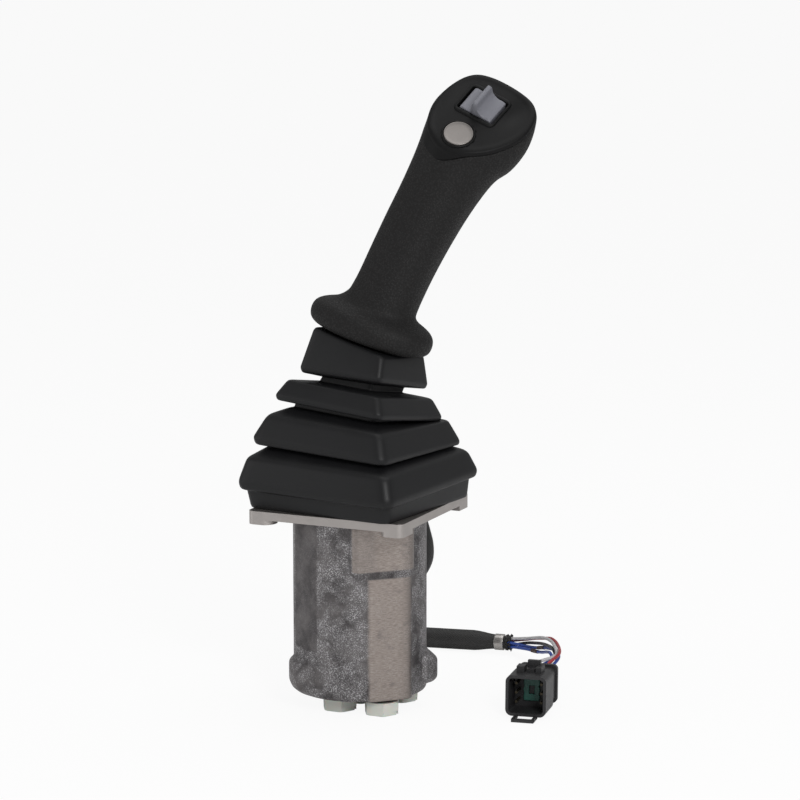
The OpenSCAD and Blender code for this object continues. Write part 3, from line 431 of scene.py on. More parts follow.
def bevel(piece, width, angle, segments=2):
    """Rounds edges sharper than an angle in degrees by a width in millimetres."""
    edge = piece.modifiers.new("edges", "BEVEL")
    edge.width, edge.segments, edge.limit_method = width * MM, segments, "ANGLE"
    edge.angle_limit = math.radians(angle)


def join_rings(mesh, rings):
    """Faces between each ring of points and the next."""
    for low, high in zip(rings, rings[1:]):
        for j in range(len(low)):
            mesh.faces.new((low[j], low[(j + 1) % len(low)], high[(j + 1) % len(low)], high[j]))


# Cords: the same routes as in the part's source, in millimetres
SLEEVE = [
    (18, 43.5, -1), (18, 43.5, -10), (20, 44, -18), (21.5, 45, -26), (20.5, 46.5, -34), (16, 48.5, -42),
    (9, 50.5, -50), (0, 52.5, -58), (-10, 54, -66), (-21, 56, -74), (-33, 58.5, -82), (-44, 62, -90),
    (-54, 67.5, -97.5), (-62, 75, -103.5), (-67, 84, -107), (-69, 93.5, -108.5), (-67.5, 103, -108.5),
    (-62.5, 111.5, -108.5), (-54.5, 119, -108.5), (-45, 125, -108.5), (-33, 130, -108.5),
    (-16, 134.5, -108.5), (1, 137.2, -108.3), (19, 139.3, -107.9), (31, 140.8, -107.9)
]
WIRES = {
    "wire_white": (90, (-1, 0), [
        (55, 131.5, -101), (65, 120.5, -97), (75.5, 108.5, -93), (85.5, 95, -90.5), (94, 81, -90), (98.5, 70.5, -93)]),
    "wire_red": (18, (1, 0), [
        (53, 136.5, -103), (63, 126.5, -99), (73.5, 114.5, -95), (84, 101, -91), (92.5, 89.5, -91),
        (103, 65.5, -90)]),
    "wire_blue_upper": (162, (1, 1), [
        (55, 131, -106), (64.5, 123, -104), (74, 112.5, -100.5), (84, 99.5, -97), (92, 87.5, -94.5),
        (100, 72.5, -94.5)]),
    "wire_blue_lower": (234, (-1, 1), [
        (57, 126.5, -106.5), (65.5, 120, -105.5), (74, 110.5, -103), (82, 98, -99), (93.5, 75, -93),
        (96.5, 68.5, -95)]),
    "wire_black": (-54, (-1, 2), [
        (53.5, 135, -105), (64.5, 123, -101), (74.5, 110.5, -97.5), (84.5, 96, -94.5), (92.5, 82.5, -92.5),
        (96.5, 73.5, -95.5)]),
}
SLEEVE_D, WIRE_D, BUNDLE_R, CLAMP_W = 13, 2, 2.6, 6.5
CONNECTOR = Matrix.Translation(mm(105.6, 4.7, -101.25)) @ Matrix.Rotation(math.radians(10), 4, "Z") @ \
    Matrix.Rotation(math.radians(-2), 4, "X")
CONNECTOR_LENGTH, CELL_COLUMN, CELL_ROW = 44, 3.8, 4.4


def smooth_route(points, steps):
    """Catmull-Rom curve through the points."""
    line = []
    for k in range(len(points) - 1):
        a, b, c, d = (points[min(max(j, 0), len(points) - 1)] for j in (k - 1, k, k + 1, k + 2))
        for i in range(steps):
            t = i / steps
            line.append(b + (c - a) * (t / 2) + (a * 2 - b * 5 + c * 4 - d) * (t * t / 2)
                        + (b * 3 - a - c * 3 + d) * (t ** 3 / 2))
    return line + [points[-1]]


def tube(route, radius, sides, grow=None):
    """Tube along a route with its length in millimetres as V and its turn from 0 to 1 as U."""
    mesh = bmesh.new()
    uv = mesh.loops.layers.uv.new("UVMap")
    side = None
    rings, run = [], 0
    for k, point in enumerate(route):
        ahead = (route[min(k + 1, len(route) - 1)] - route[max(k - 1, 0)]).normalized()
        side = (side or ahead.cross(Vector((0.1, 0.2, 1)))).cross(ahead)
        side = ahead.cross(side).normalized()
        up = ahead.cross(side)
        run += (point - route[k - 1]).length / MM if k else 0
        reach = radius * (grow(run) if grow else 1)
        ring = [mesh.verts.new(point + (side * math.cos(2 * math.pi * j / sides)
                                        + up * math.sin(2 * math.pi * j / sides)) * reach) for j in range(sides)]
        rings.append((ring, run))
    for (low, v0), (high, v1) in zip(rings, rings[1:]):
        for j in range(sides):
            face = mesh.faces.new((low[j], low[(j + 1) % sides], high[(j + 1) % sides], high[j]))
            for loop, place in zip(face.loops, ((j, v0), (j + 1, v0), (j + 1, v1), (j, v1))):
                loop[uv].uv = (place[0] / sides, place[1])
    mesh.faces.new(list(reversed(rings[0][0])))
    mesh.faces.new(rings[-1][0])
    return mesh


def scallop(z):
    """Half width of the wedge at a height: three bays a side, where the pins pass."""
    return 4.4 + 0.55 * abs(math.cos(math.pi * z / 4.4))


# Lock wedge, deep in the connector's mouth
WEDGE_NEAR, WEDGE_FAR, WEDGE_HALF = 17.5, 30, 6.6
wedge_mesh = bmesh.new()
outline = [(scallop(z), z) for z in (k * WEDGE_HALF / 14 for k in range(-14, 15))]
outline += [(-x, z) for x, z in reversed(outline)]
window = [(-1.7, -2.6), (1.7, -2.6), (1.7, 2.6), (-1.7, 2.6)]
loops = []
for points in (outline, window):
    verts = [wedge_mesh.verts.new(CONNECTOR @ mm(x, WEDGE_NEAR, z)) for x, z in points]
    loops += [wedge_mesh.edges.new((verts[k], verts[(k + 1) % len(verts)])) for k in range(len(verts))]
front = bmesh.ops.triangle_fill(wedge_mesh, use_beauty=True, use_dissolve=False, edges=loops)["geom"]
front = [item for item in front if isinstance(item, bmesh.types.BMFace)]
deep = bmesh.ops.extrude_face_region(wedge_mesh, geom=front)["geom"]
push = CONNECTOR.to_3x3() @ mm(0, WEDGE_FAR - WEDGE_NEAR, 0)
bmesh.ops.translate(wedge_mesh, vec=push, verts=[item for item in deep if isinstance(item, bmesh.types.BMVert)])
bmesh.ops.recalc_face_normals(wedge_mesh, faces=wedge_mesh.faces[:])
wedge = publish(wedge_mesh, "lock_wedge", finishes["wedge_green"], smooth=False)
bevel(wedge, 0.3, 50)
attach(wedge, "housing")

# Connector housing: the node's own form, with an open locking loop and a latch with its guides
MOUTH = 12.25  # half of the mouth's width


def connector_block(mesh, low, high):
    """Block between two corners in the connector's frame."""
    low, high = Vector(low), Vector(high)
    bmesh.ops.create_cube(mesh, size=1, matrix=CONNECTOR @ Matrix.Translation((low + high) / 2 * MM)
                          @ Matrix.Diagonal((*((high - low) * MM), 1)))


housing = bmesh.new()
housing.from_mesh(node["connector_shell"].data)
bmesh.ops.remove_doubles(housing, verts=housing.verts[:], dist=2e-6)
housing = publish(housing, "housing_form", finishes["connector_black"])
trim = bmesh.new()
connector_block(trim, (-10, -9, -MOUTH - 5), (10, 5, -MOUTH + 0.01))
connector_block(trim, (-10, -9, -MOUTH - 5), (10, -0.01, -MOUTH + 5))
connector_block(trim, (-10, 8, MOUTH - 0.02), (10, 26, MOUTH + 9))
trim = publish(trim, "trim_blocks", finishes["connector_black"])
housing = carved(housing, trim, itself=True)
bpy.data.objects.remove(trim)
for low, high in (((-6.7, -9, -13.7), (-5.1, 3, -MOUTH + 0.6)), ((5.1, -9, -13.7), (6.7, 3, -MOUTH + 0.6)),
                  ((-6.7, -9.4, -13.7), (6.7, -6.9, -11.8)), ((-7.6, 9, 11.4), (-2.9, 16.5, 16)),
                  ((3.9, 9, 11.4), (7.4, 19, 15.6)), ((-1.9, 10.5, 11.4), (2.9, 25, 14.2)),
                  ((-2.6, 17.5, 13.8), (5.2, 20.5, 18))):
    connector_block(housing, low, high)
housing = publish(housing, "connector_housing", finishes["connector_black"])
bevel(housing, 0.45, 35)
housing.modifiers.new("normals", "WEIGHTED_NORMAL").keep_sharp = False
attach(housing, "housing")
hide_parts("connector_shell")
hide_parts("connector_wedge")
node["connector_pins"].data.materials[0] = metal("dull pins", (0.10, 0.085, 0.06), 0.5)


def route_length(route):
    """Length of a route in metres."""
    return sum((b - a).length for a, b in zip(route, route[1:]))


sleeve_route = smooth_route([mm(*p) for p in SLEEVE], 5)
SLEEVE_RUN, NECK_RUN, NECK_SHARE = route_length(sleeve_route) / MM, 16, 0.72


def sleeve_neck(run):
    """Share of the sleeve's radius, drawn in towards the clamp."""
    return NECK_SHARE + (1 - NECK_SHARE) * ease((SLEEVE_RUN - run) / NECK_RUN)


sleeve = publish(tube(sleeve_route, SLEEVE_D / 2 * MM, 20, sleeve_neck), "braided_sleeve", finishes["braid"])
last = mm(*SLEEVE[-1])
out = (last - mm(*SLEEVE[-2])).normalized()
band_route = [last - out * MM, last, last + out * 2.5 * MM, last + out * 5 * MM]
band = publish(tube(band_route, SLEEVE_D / 2 * 0.8 * MM, 48), "clamp_band", finishes["clamp_metal"])
fray = publish(tube([last + out * k * 0.5 * MM for k in range(7, 21)], SLEEVE_D / 2 * 0.66 * MM, 40,
                    lambda run: 1 + 0.12 * math.sin(run * 2.3)), "frayed_end", finishes["braid"])
for vert in fray.data.vertices:
    along = (vert.co - last).dot(out)
    away = vert.co - last - out * along
    tuft = 0.16 * math.sin(vert.index * 2.7) + 0.1 * math.sin(vert.index * 5.3)
    vert.co += away * tuft * min(1, max(0, along / MM - 5) / 2)
bevel(band, 0.3, 40)
for piece, slot in ((band, "clamp_metal"), (fray, "braid")):
    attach(piece, "housing")
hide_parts("sleeve_clamp")
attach(sleeve, "housing")
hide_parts("harness_sleeve")
route_length(sleeve_route)

wire_ends = {}
for name, (angle, (side, row), middle) in WIRES.items():
    turn = math.radians(angle)
    start = last + Vector((-out.y * math.cos(turn), out.x * math.cos(turn), math.sin(turn))) * BUNDLE_R * MM
    z = CELL_ROW * (1 - row)
    plug = [CONNECTOR @ mm(side * CELL_COLUMN, CONNECTOR_LENGTH + along, z + up)
            for along, up in ((4.5 + 3.5 * row, 5), (2.6 + 2.6 * row, 1.3), (-1, 0))]
    wire_ends[name] = smooth_route([start, start + out * (CLAMP_W + 1.5) * MM] + [mm(*p) for p in middle] + plug, 5)
for name, first in (("wire_blue_upper", 17), ("wire_blue_lower", 13)):
    route = wire_ends[name][first:first + 5]
    marker = publish(tube(route, 1.22 * MM, 16), name.replace("wire_blue", "marker"), finishes["marker_brown"])
    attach(marker, "housing")
for name, route in wire_ends.items():
    wire = publish(tube(route, WIRE_D / 2 * MM, 12), name.replace("wire", "lead"), finishes[slot_of[name]])
    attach(wire, "housing")
    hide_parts(name)
    route_length(route)


# Boot: four tiers with every fold rounded, leaning as the photograph shows
BOOT_FOOT, BOOT_YAW = 8, math.radians(-6.7)
BOOT_STANCE = [  # height, the middle's shift in x and y, and how far the ring falls per millimetre in x and y
    (0, 0, 0, 0, 0), (12, -0.4, -0.2, 0.011, -0.024), (30, -0.6, -0.3, 0.03, -0.01), (38, -1.3, -0.35, 0.06, 0.021),
    (50, -1.1, -0.3, 0.06, 0.021), (55, -0.4, 0.2, 0.101, 0.151), (68, 0.25, 0.7, 0.101, 0.151),
    (74, 2.2, 1.6, 0.058, 0.205), (86, 3.4, 2.3, 0.12, 0.17), (97.4, 4.9, 3.0, 0.305, 0.075)]


def rounded(corners, steps=4):
    """Polyline of (height, half width) with each corner (height, half width, radius) turned into an arc."""
    line = []
    for k, (h, half, radius) in enumerate(corners):
        here = Vector((h, half))
        if radius == 0 or k in (0, len(corners) - 1):
            line.append(here)
            continue
        before, after = (Vector(corners[j][:2]) - here for j in (k - 1, k + 1))
        start, end = (here + arm * min(radius / arm.length, 0.48) for arm in (before, after))
        for i in range(steps + 1):
            t = i / steps
            line.append(start * (1 - t) ** 2 + here * (2 * t * (1 - t)) + end * t * t)
    return line


def boot_point(x, y, h):
    """Point of the ring at a height above the plate, which shifts and tips as the lever draws the boot over."""
    for low, high in zip(BOOT_STANCE, BOOT_STANCE[1:]):
        if h <= high[0] or high is BOOT_STANCE[-1]:
            t = ease((h - low[0]) / (high[0] - low[0]))
            shift_x, shift_y, fall_x, fall_y = (a + (b - a) * t for a, b in zip(low[1:], high[1:]))
            break
    c, s = math.cos(BOOT_YAW), math.sin(BOOT_YAW)
    across, along = x * c - y * s, x * s + y * c
    return mm(across + shift_x, along + shift_y, BOOT_FOOT + h - across * fall_x - along * fall_y)


def square_ring(half, corner, arc=6, straight=5):
    """Square with round corners, as points in order round it."""
    points = []
    flat = half - corner
    for q in range(4):
        turn = Matrix.Rotation(math.pi / 2 * q, 2)
        for i in range(arc + 1):
            t = math.pi / 2 * i / arc
            points.append(turn @ Vector((flat + corner * math.cos(t), flat + corner * math.sin(t))))
        for i in range(1, straight):
            points.append(turn @ Vector((flat - 2 * flat * i / straight, half)))
    return points


def boot_part(name, corners):
    """Part of the boot from its lowest corner up to its last."""
    mesh = bmesh.new()
    rings = []
    for h, half in rounded(corners):
        ring = square_ring(half, max(min(3.4, half * 0.4), half * 0.12))
        rings.append([mesh.verts.new(boot_point(p.x, p.y, h)) for p in ring])
    join_rings(mesh, rings)
    piece = publish(mesh, name, finishes["boot_rubber"])
    rounder = piece.modifiers.new("rounder", "SUBSURF")
    rounder.levels = rounder.render_levels = 1
    return piece


boot_low = boot_part("boot_lower", [
    (0, 45, 0), (0, 48.0, 0.6), (1.6, 48.6, 0.8), (11.4, 49.8, 0.8), (11.9, 52.6, 1.3), (16.0, 53.7, 2.6),
    (29.0, 49.4, 2.6), (34.0, 40.0, 2.0), (34.3, 38.2, 0.5), (34.8, 38.2, 0.5), (35.0, 45.4, 1.0), (38.2, 46.3, 1.8),
    (51.0, 40.4, 2.2), (53.2, 30.4, 1.5), (53.5, 28.6, 0.5), (54.2, 28.4, 0)])
boot_high = boot_part("boot_upper", [
    (54.2, 28.4, 0), (54.8, 28.4, 0.5), (55.2, 36.3, 1.0), (58.2, 37.2, 1.6), (68.3, 32.0, 2.0), (69.2, 20.4, 1.4),
    (69.6, 18.8, 0.5), (72.4, 18.6, 0.5), (73.2, 27.4, 1.0), (76.0, 28.4, 1.4), (95.8, 24.6, 1.4), (97.4, 23.2, 1.2),
    (97.4, 17.0, 1.2), (97.4, 9.2, 0.8), (94.4, 9, 0)])
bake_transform(boot_low)
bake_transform(boot_high)
for piece in (boot_low, boot_high):
    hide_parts("boot")


# Grip: shank, head and hand rest in one skin, then parted into shell and cap
GRIP_HEIGHT = 162
GRIP_SECTIONS = [
    (0.000, 21.5, 21.5, 20.0, 20.0, 0.86), (0.080, 20.6, 21.2, 19.6, 20.0, 0.86), (0.150, 20.3, 20.0, 19.6, 20.0, 0.86),
    (0.260, 21.2, 19.2, 20.0, 20.6, 0.86), (0.380, 22.0, 19.4, 20.6, 21.4, 0.86), (0.500, 22.4, 20.6, 21.4, 22.0, 0.87),
    (0.600, 23.2, 22.8, 22.6, 22.4, 0.94), (0.670, 24.1, 25.6, 25.0, 22.8, 1.04), (0.715, 24.9, 30.0, 27.6, 23.4, 1.12),
    (0.760, 25.8, 32.6, 29.0, 24.0, 1.14), (0.815, 27.6, 34.0, 29.0, 24.6, 1.14), (0.865, 27.2, 33.6, 28.0, 24.8, 1.12),
    (0.915, 25.0, 31.8, 26.0, 24.0, 1.10), (0.955, 21.6, 29.0, 23.0, 22.0, 1.05), (0.985, 16.0, 23.0, 18.0, 18.0, 0.96),
    (1.000, 7.0, 12.0, 8.0, 9.0, 0.90)]
REST_SECTIONS = [
    (-8.2, 0.50), (-8.2, 0.72), (-7.9, 0.83), (-6.9, 0.92), (-4.8, 0.98), (-2.0, 1.0), (1.0, 1.0), (4.0, 0.975),
    (6.4, 0.91), (8.3, 0.81), (10.0, 0.70), (12.8, 0.60), (17.0, 0.51), (22.0, 0.42)]


def egg_ring(left, right, front, back, power, corner, sides):
    """Superellipse with its own reach to each side and its own roundness in the front right quarter."""
    points = []
    for j in range(sides):
        t = 2 * math.pi * j / sides
        c, s = math.cos(t), math.sin(t)
        share = corner if c > 0 > s else power
        points.append(Vector(((right if c > 0 else left) * math.copysign(abs(c) ** share, c),
                              (back if s > 0 else front) * math.copysign(abs(s) ** share, s))))
    return points


def add_loft(mesh, place, levels, ring_of):
    """Closed skin through the rings at the given heights, in millimetres of the place's own frame."""
    rings = [[mesh.verts.new(place @ mm(p.x, p.y, z)) for p in ring_of(values)] for z, values in levels]
    join_rings(mesh, rings)
    mesh.faces.new(list(reversed(rings[0])))
    mesh.faces.new(rings[-1])


def refined(rows, steps):
    """Rows of numbers with smooth rows put in between."""
    return [tuple(row) for row in smooth_route([Vector(row) for row in rows], steps)]


skin = bmesh.new()
add_loft(skin, GRIP_FRAME, [(row[0] * GRIP_HEIGHT, row[1:]) for row in refined(GRIP_SECTIONS, 4)],
         lambda row: egg_ring(row[0], row[1], row[2], row[3], 0.86, row[4], 72))
add_loft(skin, GRIP_FRAME @ Matrix.Translation(mm(1.0, 0, -0.6)) @ Matrix.Rotation(math.radians(-7.2), 4, "Y")
         @ Matrix.Rotation(math.radians(9), 4, "X"),
         [(row[0], row[1]) for row in refined(REST_SECTIONS, 3)],
         lambda share: egg_ring(38.2 * share, 38.2 * share, 29 * share, 29 * share, 0.92, 0.92, 96))
skin = fused(publish(skin, "grip_skin", finishes["grip_black"]), 1.0, 16)


def parting(x, y):
    """Height of the line between cap and shell over the panel's plane: close under the rim on the right."""
    return -2.6 - 5.6 * ease((15 - x) / 20)


def face_height(x, y):
    """Height of the cap's face over the panel's plane: it droops in front and on the left, dished by the rocker."""
    droop = -0.022 * max(0, -y - 31) ** 2 - 0.02 * max(0, -x - 13) ** 2
    scoop = -1.5 * math.exp(-((x - 18.5) ** 2 / 22 + (y - 7) ** 2 / 110))
    return droop + scoop


def flattened(mesh, height, sign):
    """Moves a mesh between the world and the panel's frame, where the surface height(x, y) lies at zero."""
    if sign > 0:
        mesh.transform(PANEL.inverted())
    for vert in mesh.verts:
        vert.co.z -= sign * height(vert.co.x / MM, vert.co.y / MM) * MM
    if sign < 0:
        mesh.transform(PANEL)


def cut_flat(mesh, z, keep_low, steps):
    """Cuts a mesh at the height z, closes it and rounds the edge by steps of (inset, rise) in millimetres."""
    geom = mesh.verts[:] + mesh.edges[:] + mesh.faces[:]
    made = bmesh.ops.bisect_plane(mesh, geom=geom, dist=1e-7, plane_co=(0, 0, z * MM), plane_no=(0, 0, 1),
                                  clear_outer=keep_low, clear_inner=not keep_low)
    rim = [item for item in made["geom_cut"] if isinstance(item, bmesh.types.BMVert)]
    bmesh.ops.remove_doubles(mesh, verts=rim, dist=0.45 * MM)
    rim = [vert for vert in rim if vert.is_valid]
    for _ in range(6):
        moved = {}
        for vert in rim:
            beside = [e.other_vert(vert).co for e in vert.link_edges if e.is_boundary]
            moved[vert] = vert.co * 0.5 + (beside[0] + beside[1]) * 0.25 if len(beside) == 2 else vert.co.copy()
        for vert, place in moved.items():
            vert.co = place
    lid = bmesh.ops.contextual_create(mesh, geom=list({e for vert in rim for e in vert.link_edges if e.is_boundary}))
    lid = lid["faces"]
    bmesh.ops.recalc_face_normals(mesh, faces=mesh.faces[:])
    for inset, rise in steps:
        bmesh.ops.inset_region(mesh, faces=lid, thickness=inset * MM, depth=rise * MM, use_even_offset=False)
    return lid


def shell_rim(x, y):
    """The shell's side of the parting: the groove closes on the left, where the two run on as one skin."""
    return parting(x, y) - 0.75 * min(1, max(0.05, (x + 9) / 10))


def cap_rim(x, y):
    """The cap's side of the parting."""
    return parting(x, y) + 0.35 * min(1, max(0, (x + 9) / 10))


shell = skin.copy()
flattened(shell, shell_rim, 1)
cut_flat(shell, 0, True, ((0.1, 0.25), (0.2, 0.15), (0.4, 0.08)))
flattened(shell, shell_rim, -1)

cap = skin
flattened(cap, cap_rim, 1)
cut_flat(cap, 0, False, ((0.12, 0.15), (0.35, 0.1)))
flattened(cap, cap_rim, -1)
flattened(cap, face_height, 1)
lid = cut_flat(cap, -1.7, True, ((0.08, 0.5), (0.2, 0.45), (0.35, 0.38), (0.55, 0.26), (0.8, 0.12), (1.1, 0),
                                (0.9, -0.12), (0.9, -0.1)))
grid = list({v for f in lid for v in f.verts}) + list({e for f in lid for e in f.edges}) + lid
for axis, reach in (((1, 0, 0), 36), ((0, 1, 0), 46)):
    for k in range(-reach, reach, 2):
        at = Vector(axis) * k * MM
        made = bmesh.ops.bisect_plane(cap, geom=grid, dist=1e-7, plane_co=at, plane_no=axis)
        grid = made["geom"]
flattened(cap, face_height, -1)

shell = publish(shell, "grip_shell_skin", finishes["grip_black"])
cap = publish(cap, "switch_cap", finishes["panel_black"])


def cutter(name, shapes):
    """Hidden solid that a Boolean takes away, made from (ring, bottom, top) in the panel's frame."""
    mesh = bmesh.new()
    for ring, bottom, top in shapes:
        add_loft(mesh, PANEL, [(bottom, ring), (top, ring)], lambda points: points)
    return publish(mesh, name, finishes["panel_black"])


def box_ring(half_x, half_y, corner, arc=5):
    """Rectangle with round corners."""
    return [Vector((sx * (half_x - corner) + corner * math.cos(t), sy * (half_y - corner) + corner * math.sin(t)))
            for sx, sy, first in ((1, 1, 0), (-1, 1, 90), (-1, -1, 180), (1, -1, 270))
            for t in (math.radians(first + 90 * i / arc) for i in range(arc + 1))]


def disc_ring(radius, sides=72):
    """Circle round the origin."""
    return [Vector((radius * math.cos(2 * math.pi * j / sides), radius * math.sin(2 * math.pi * j / sides)))
            for j in range(sides)]


BEZEL_X, BEZEL_Y, BEZEL_IN_X, BEZEL_IN_Y = 13.7, 12.05, 12.15, 9.05
button_at = Vector((0, BUTTON_DOWN))
room = cutter("switch_room", (
    (box_ring(BEZEL_X - 0.1, BEZEL_Y - 0.1, 3.5), -18, 4),
    ([button_at + p for p in disc_ring(RING_R - 0.1)], -12, 4)))
shell = publish(carved(shell, room), "grip_shell_skin", finishes["grip_black"])
cap = publish(carved(cap, room), "switch_cap", finishes["panel_black"])
bpy.data.objects.remove(room)
for piece, name, slot in ((shell, "grip_shell", "grip_black"), (cap, "switch_panel", "panel_black")):
    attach(piece, "lever")
    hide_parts(name)


# Rocker frame, rocker and push button
bezel_mesh = bmesh.new()
profile = [(BEZEL_X, BEZEL_Y, 3.6, -6), (BEZEL_X, BEZEL_Y, 3.6, 0.0), (BEZEL_X - 0.3, BEZEL_Y - 0.3, 3.4, 0.35),
           (BEZEL_X - 0.8, BEZEL_Y - 0.9, 2.8, 0.6), (BEZEL_IN_X + 0.4, BEZEL_IN_Y + 0.9, 1.4, 0.6),
           (BEZEL_IN_X + 0.1, BEZEL_IN_Y + 0.3, 0.9, 0.4), (BEZEL_IN_X, BEZEL_IN_Y + 0.1, 0.7, 0.0),
           (BEZEL_IN_X, BEZEL_IN_Y, 0.7, -9)]
rings = [[bezel_mesh.verts.new(PANEL @ mm(p.x, p.y, z)) for p in box_ring(x, y, corner)]
         for x, y, corner, z in profile]
join_rings(bezel_mesh, rings + rings[:1])
bezel = publish(bezel_mesh, "rocker_frame", finishes["panel_black"])

ROCKER_X, ROCKER_Y, HOLLOW_LEFT, HOLLOW_RIGHT, FIN_X, FIN_H = 10.5, 8.75, 3.6, 7.4, -0.7, 8.8


def rocker_height(x, y):
    """Height of the rocker over the panel's plane: a thick fin from end to end, hollowed wider on its right."""
    end = min(1, (ROCKER_Y - abs(y)) / 1.1)
    fin = FIN_H * (1 - 0.16 * (1 - end) ** 2)
    side = x - FIN_X
    wide = max(0, abs(side) - 1.25)
    wall = fin * (1 - ease(wide / 1.5)) - 0.35 * min(1.5, abs(side)) ** 2
    reach = HOLLOW_RIGHT if side > 0 else HOLLOW_LEFT
    hollow = reach - math.sqrt(reach ** 2 - max(0, reach - wide) ** 2)
    lip = 0.45 * math.exp(-((abs(x) - 8.4) / 2.2) ** 2) - 0.6 * max(0, (abs(x) - 7.8) / 2.7) ** 2
    return 1.0 + max(wall, min(hollow, 0.66 * fin), 0) + lip - 0.5 * (1 - end) ** 2


rocker_mesh = bmesh.new()
across, along = 56, 40
columns = [ROCKER_X * math.copysign(abs(u) ** 1.35, u) for u in (2 * k / across - 1 for k in range(across + 1))]
lines = [-ROCKER_Y + 2 * ROCKER_Y * k / along for k in range(along + 1)]
top = [[rocker_mesh.verts.new(PANEL @ mm(x, y, rocker_height(x, y))) for x in columns] for y in lines]
for near, far in zip(top, top[1:]):
    for i in range(across):
        rocker_mesh.faces.new((near[i], near[i + 1], far[i + 1], far[i]))
rim = top[0] + [row[-1] for row in top[1:]] + top[-1][-2::-1] + [row[0] for row in top[-2:0:-1]]
base = []
for vert in rim:
    p = PANEL.inverted() @ vert.co
    base.append(rocker_mesh.verts.new(PANEL @ Vector((p.x * 0.98, p.y * 0.99, -8 * MM))))
join_rings(rocker_mesh, [base, rim])
rocker_mesh.faces.new(base)
bmesh.ops.recalc_face_normals(rocker_mesh, faces=rocker_mesh.faces[:])
rocker = publish(rocker_mesh, "thumb_rocker_skin", finishes["rocker_grey"])
bevel(rocker, 0.35, 50, 3)

BUTTON_SIDES, BUTTON_RISE = 96, -5.2
button_mesh = bmesh.new()
dish = [(0.01, 5.62), (2, 5.62), (4, 5.64), (6, 5.68), (7.6, 5.74), (8.0, 5.84), (8.2, 5.9), (8.4, 5.88),
        (8.62, 5.76), (BUTTON_R - 0.04, 5.5), (BUTTON_R - 0.02, 0)]
rings = [[button_mesh.verts.new(PANEL @ mm(p.x, p.y + BUTTON_DOWN, z + BUTTON_RISE))
          for p in disc_ring(radius, BUTTON_SIDES)] for radius, z in dish]
join_rings(button_mesh, rings[::-1])
button_mesh.faces.new(rings[0])
bmesh.ops.recalc_face_normals(button_mesh, faces=button_mesh.faces[:])
button = publish(button_mesh, "button_cap", finishes["button_metal"])

hoop_mesh = bmesh.new()
profile = [(RING_R, -6), (RING_R, 0.0), (RING_R - 0.25, 0.3), (RING_R - 0.6, 0.38), (BUTTON_R + 0.4, 0.3),
           (BUTTON_R + 0.2, 0.05), (BUTTON_R + 0.2, -6)]
rings = [[hoop_mesh.verts.new(PANEL @ mm(p.x, p.y + BUTTON_DOWN, z)) for p in disc_ring(radius, BUTTON_SIDES)]
         for radius, z in profile]
join_rings(hoop_mesh, rings + rings[:1])
bmesh.ops.recalc_face_normals(hoop_mesh, faces=hoop_mesh.faces[:])
hoop = publish(hoop_mesh, "button_hoop", finishes["panel_black"])
for piece, name, body, slot in ((bezel, "rocker_bezel", "lever", "panel_black"),
                                (hoop, "button_ring", "lever", "panel_black"),
                                (rocker, "thumb_rocker", "rocker", "rocker_grey"),
                                (button, "push_button", "button", "button_metal")):
    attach(piece, body)
    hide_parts(name)

# Plate and plugs: the nodes' own forms, with the sharpness taken off their edges
for name, width in (("mounting_plate", 0.35), ("port_plugs", 0.5)):
    node[name].modifiers.new("joined", "WELD").merge_threshold = 2e-6
    bevel(node[name], width, 35)
    node[name].modifiers.new("normals", "WEIGHTED_NORMAL").keep_sharp = False

# Casting: drums and blocks fused into one skin, with the marking flat cut first
BODY_LOW, BODY_HIGH, BODY_R, FLAT_REACH = -105, 2.9, 40, 38.5


def add_drum(mesh, x, y, low, high, low_r, high_r):
    """Upright drum or cone between two heights."""
    middle = Matrix.Translation(mm(x, y, (low + high) / 2))
    bmesh.ops.create_cone(mesh, cap_ends=True, segments=120, radius1=low_r * MM, radius2=high_r * MM,
                          depth=(high - low) * MM, matrix=middle)


def add_block(mesh, turn, low, high):
    """Block between two corners, turned about the casting's axis by an angle in degrees."""
    low, high = mm(*low), mm(*high)
    bmesh.ops.create_cube(mesh, size=1, matrix=Matrix.Rotation(math.radians(turn), 4, "Z")
                          @ Matrix.Translation((low + high) / 2) @ Matrix.Diagonal((*(high - low), 1)))


def add_boss(mesh, reach, left, right, low, high, left_r, right_r):
    """Flat-faced boss on the casting's front, its two upright edges rounded."""
    for k in range(10):
        turn = math.pi / 18 * k
        for radius, a, b in ((right_r, 0, right - right_r * (1 - math.cos(turn))),
                             (left_r, left + left_r * (1 - math.cos(turn)), 0)):
            add_block(mesh, FRONT_TURN, (20, a, low), (reach - radius * (1 - math.sin(turn)), b, high))


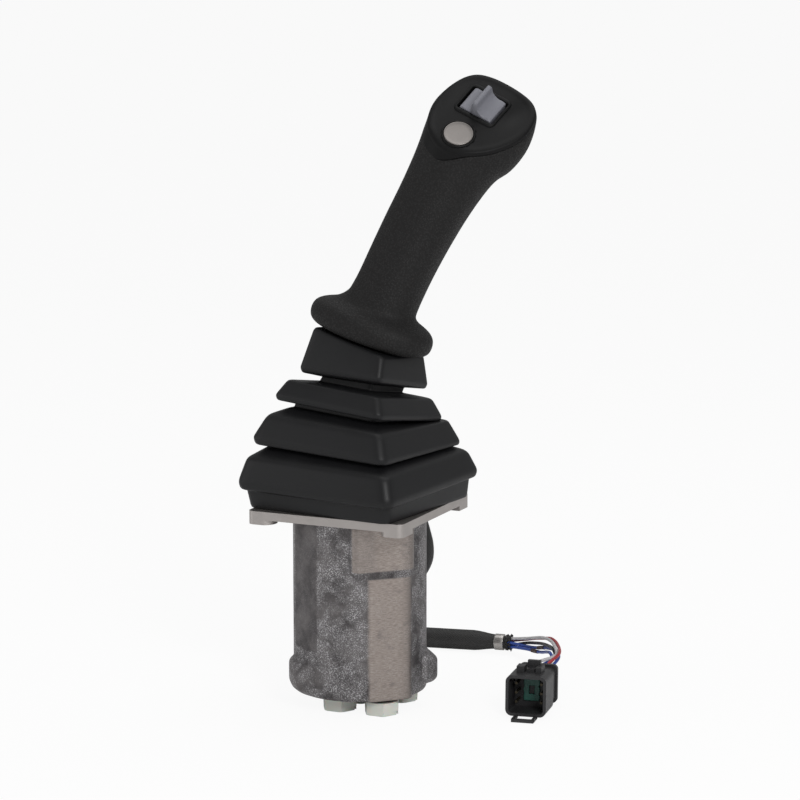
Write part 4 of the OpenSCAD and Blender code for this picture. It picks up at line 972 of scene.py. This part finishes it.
drum = bmesh.new()
add_drum(drum, 0, 0, BODY_LOW, BODY_HIGH, BODY_R, BODY_R)
drum = publish(drum, "casting_drum", finishes["cast_body"])
flat = bmesh.new()
add_block(flat, FLAT_TURN, (FLAT_REACH, -22, -77), (FLAT_REACH + 10, 22, 12))
flat = publish(flat, "marking_flat", finishes["cast_body"])
casting = carved(drum, flat)
bpy.data.objects.remove(flat)
add_boss(casting, 43, -20, 20, PAD_LOW, 2, 5, 5)
add_boss(casting, 40.8, -9.5, 19.5, BODY_LOW, LEDGE_LOW, 1.8, 4.5)
for step in range(6):
    add_boss(casting, 42.6 - step * 0.52, -20 + step * 0.6, 20, PAD_LOW - step * 0.8 - 1, PAD_LOW - step * 0.8, 5, 5)
for low, high, low_r, high_r in ((0, 1.4, 6, 12), (1.4, 4.2, 12, 15.2), (4.2, 8.5, 15.2, 17), (8.5, 20, 17, 17),
                                 (20, 28, 17, 8)):
    add_drum(casting, -17, -24, BODY_LOW + low, BODY_LOW + high, low_r, high_r)
for low, high, low_r, high_r in ((4, 6.5, 7, 9.5), (6.5, 18.2, 9.5, 9.5), (18.2, 23, 9.5, 4.75)):
    add_drum(casting, 35.5, 11.5, BODY_LOW + low, BODY_LOW + high, low_r, high_r)
add_block(casting, 5, (38, -1.6, BODY_LOW + 7), (43.4, 1.6, BODY_LOW + 22))
casting = fused(publish(casting, "casting_forms", finishes["cast_body"]), 0.9, 12)
casting = publish(casting, "valve_casting", finishes["cast_body"])
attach(casting, "housing")
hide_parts("valve_body")

# Springs inside the body: each coil copied from its node, and the node hidden
for side in ("right", "left", "rear", "front"):
    for kind, seat, give in (("return_spring", -49, 0), ("control_spring", -43, 0.2641)):
        coil = bmesh.new()
        coil.from_mesh(node[f"{kind}_{side}"].data)
        top = max((v.co.z for v in coil.verts), key=lambda z: abs(z - seat * MM))
        foot = (seat * MM - give * top) / (1 - give)  # where the lower end would go with its spool; not applied
        coil = publish(coil, f"{kind}_{side}_coil", finishes["spring_steel"])
        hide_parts(f"{kind}_{side}")
        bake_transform(coil)
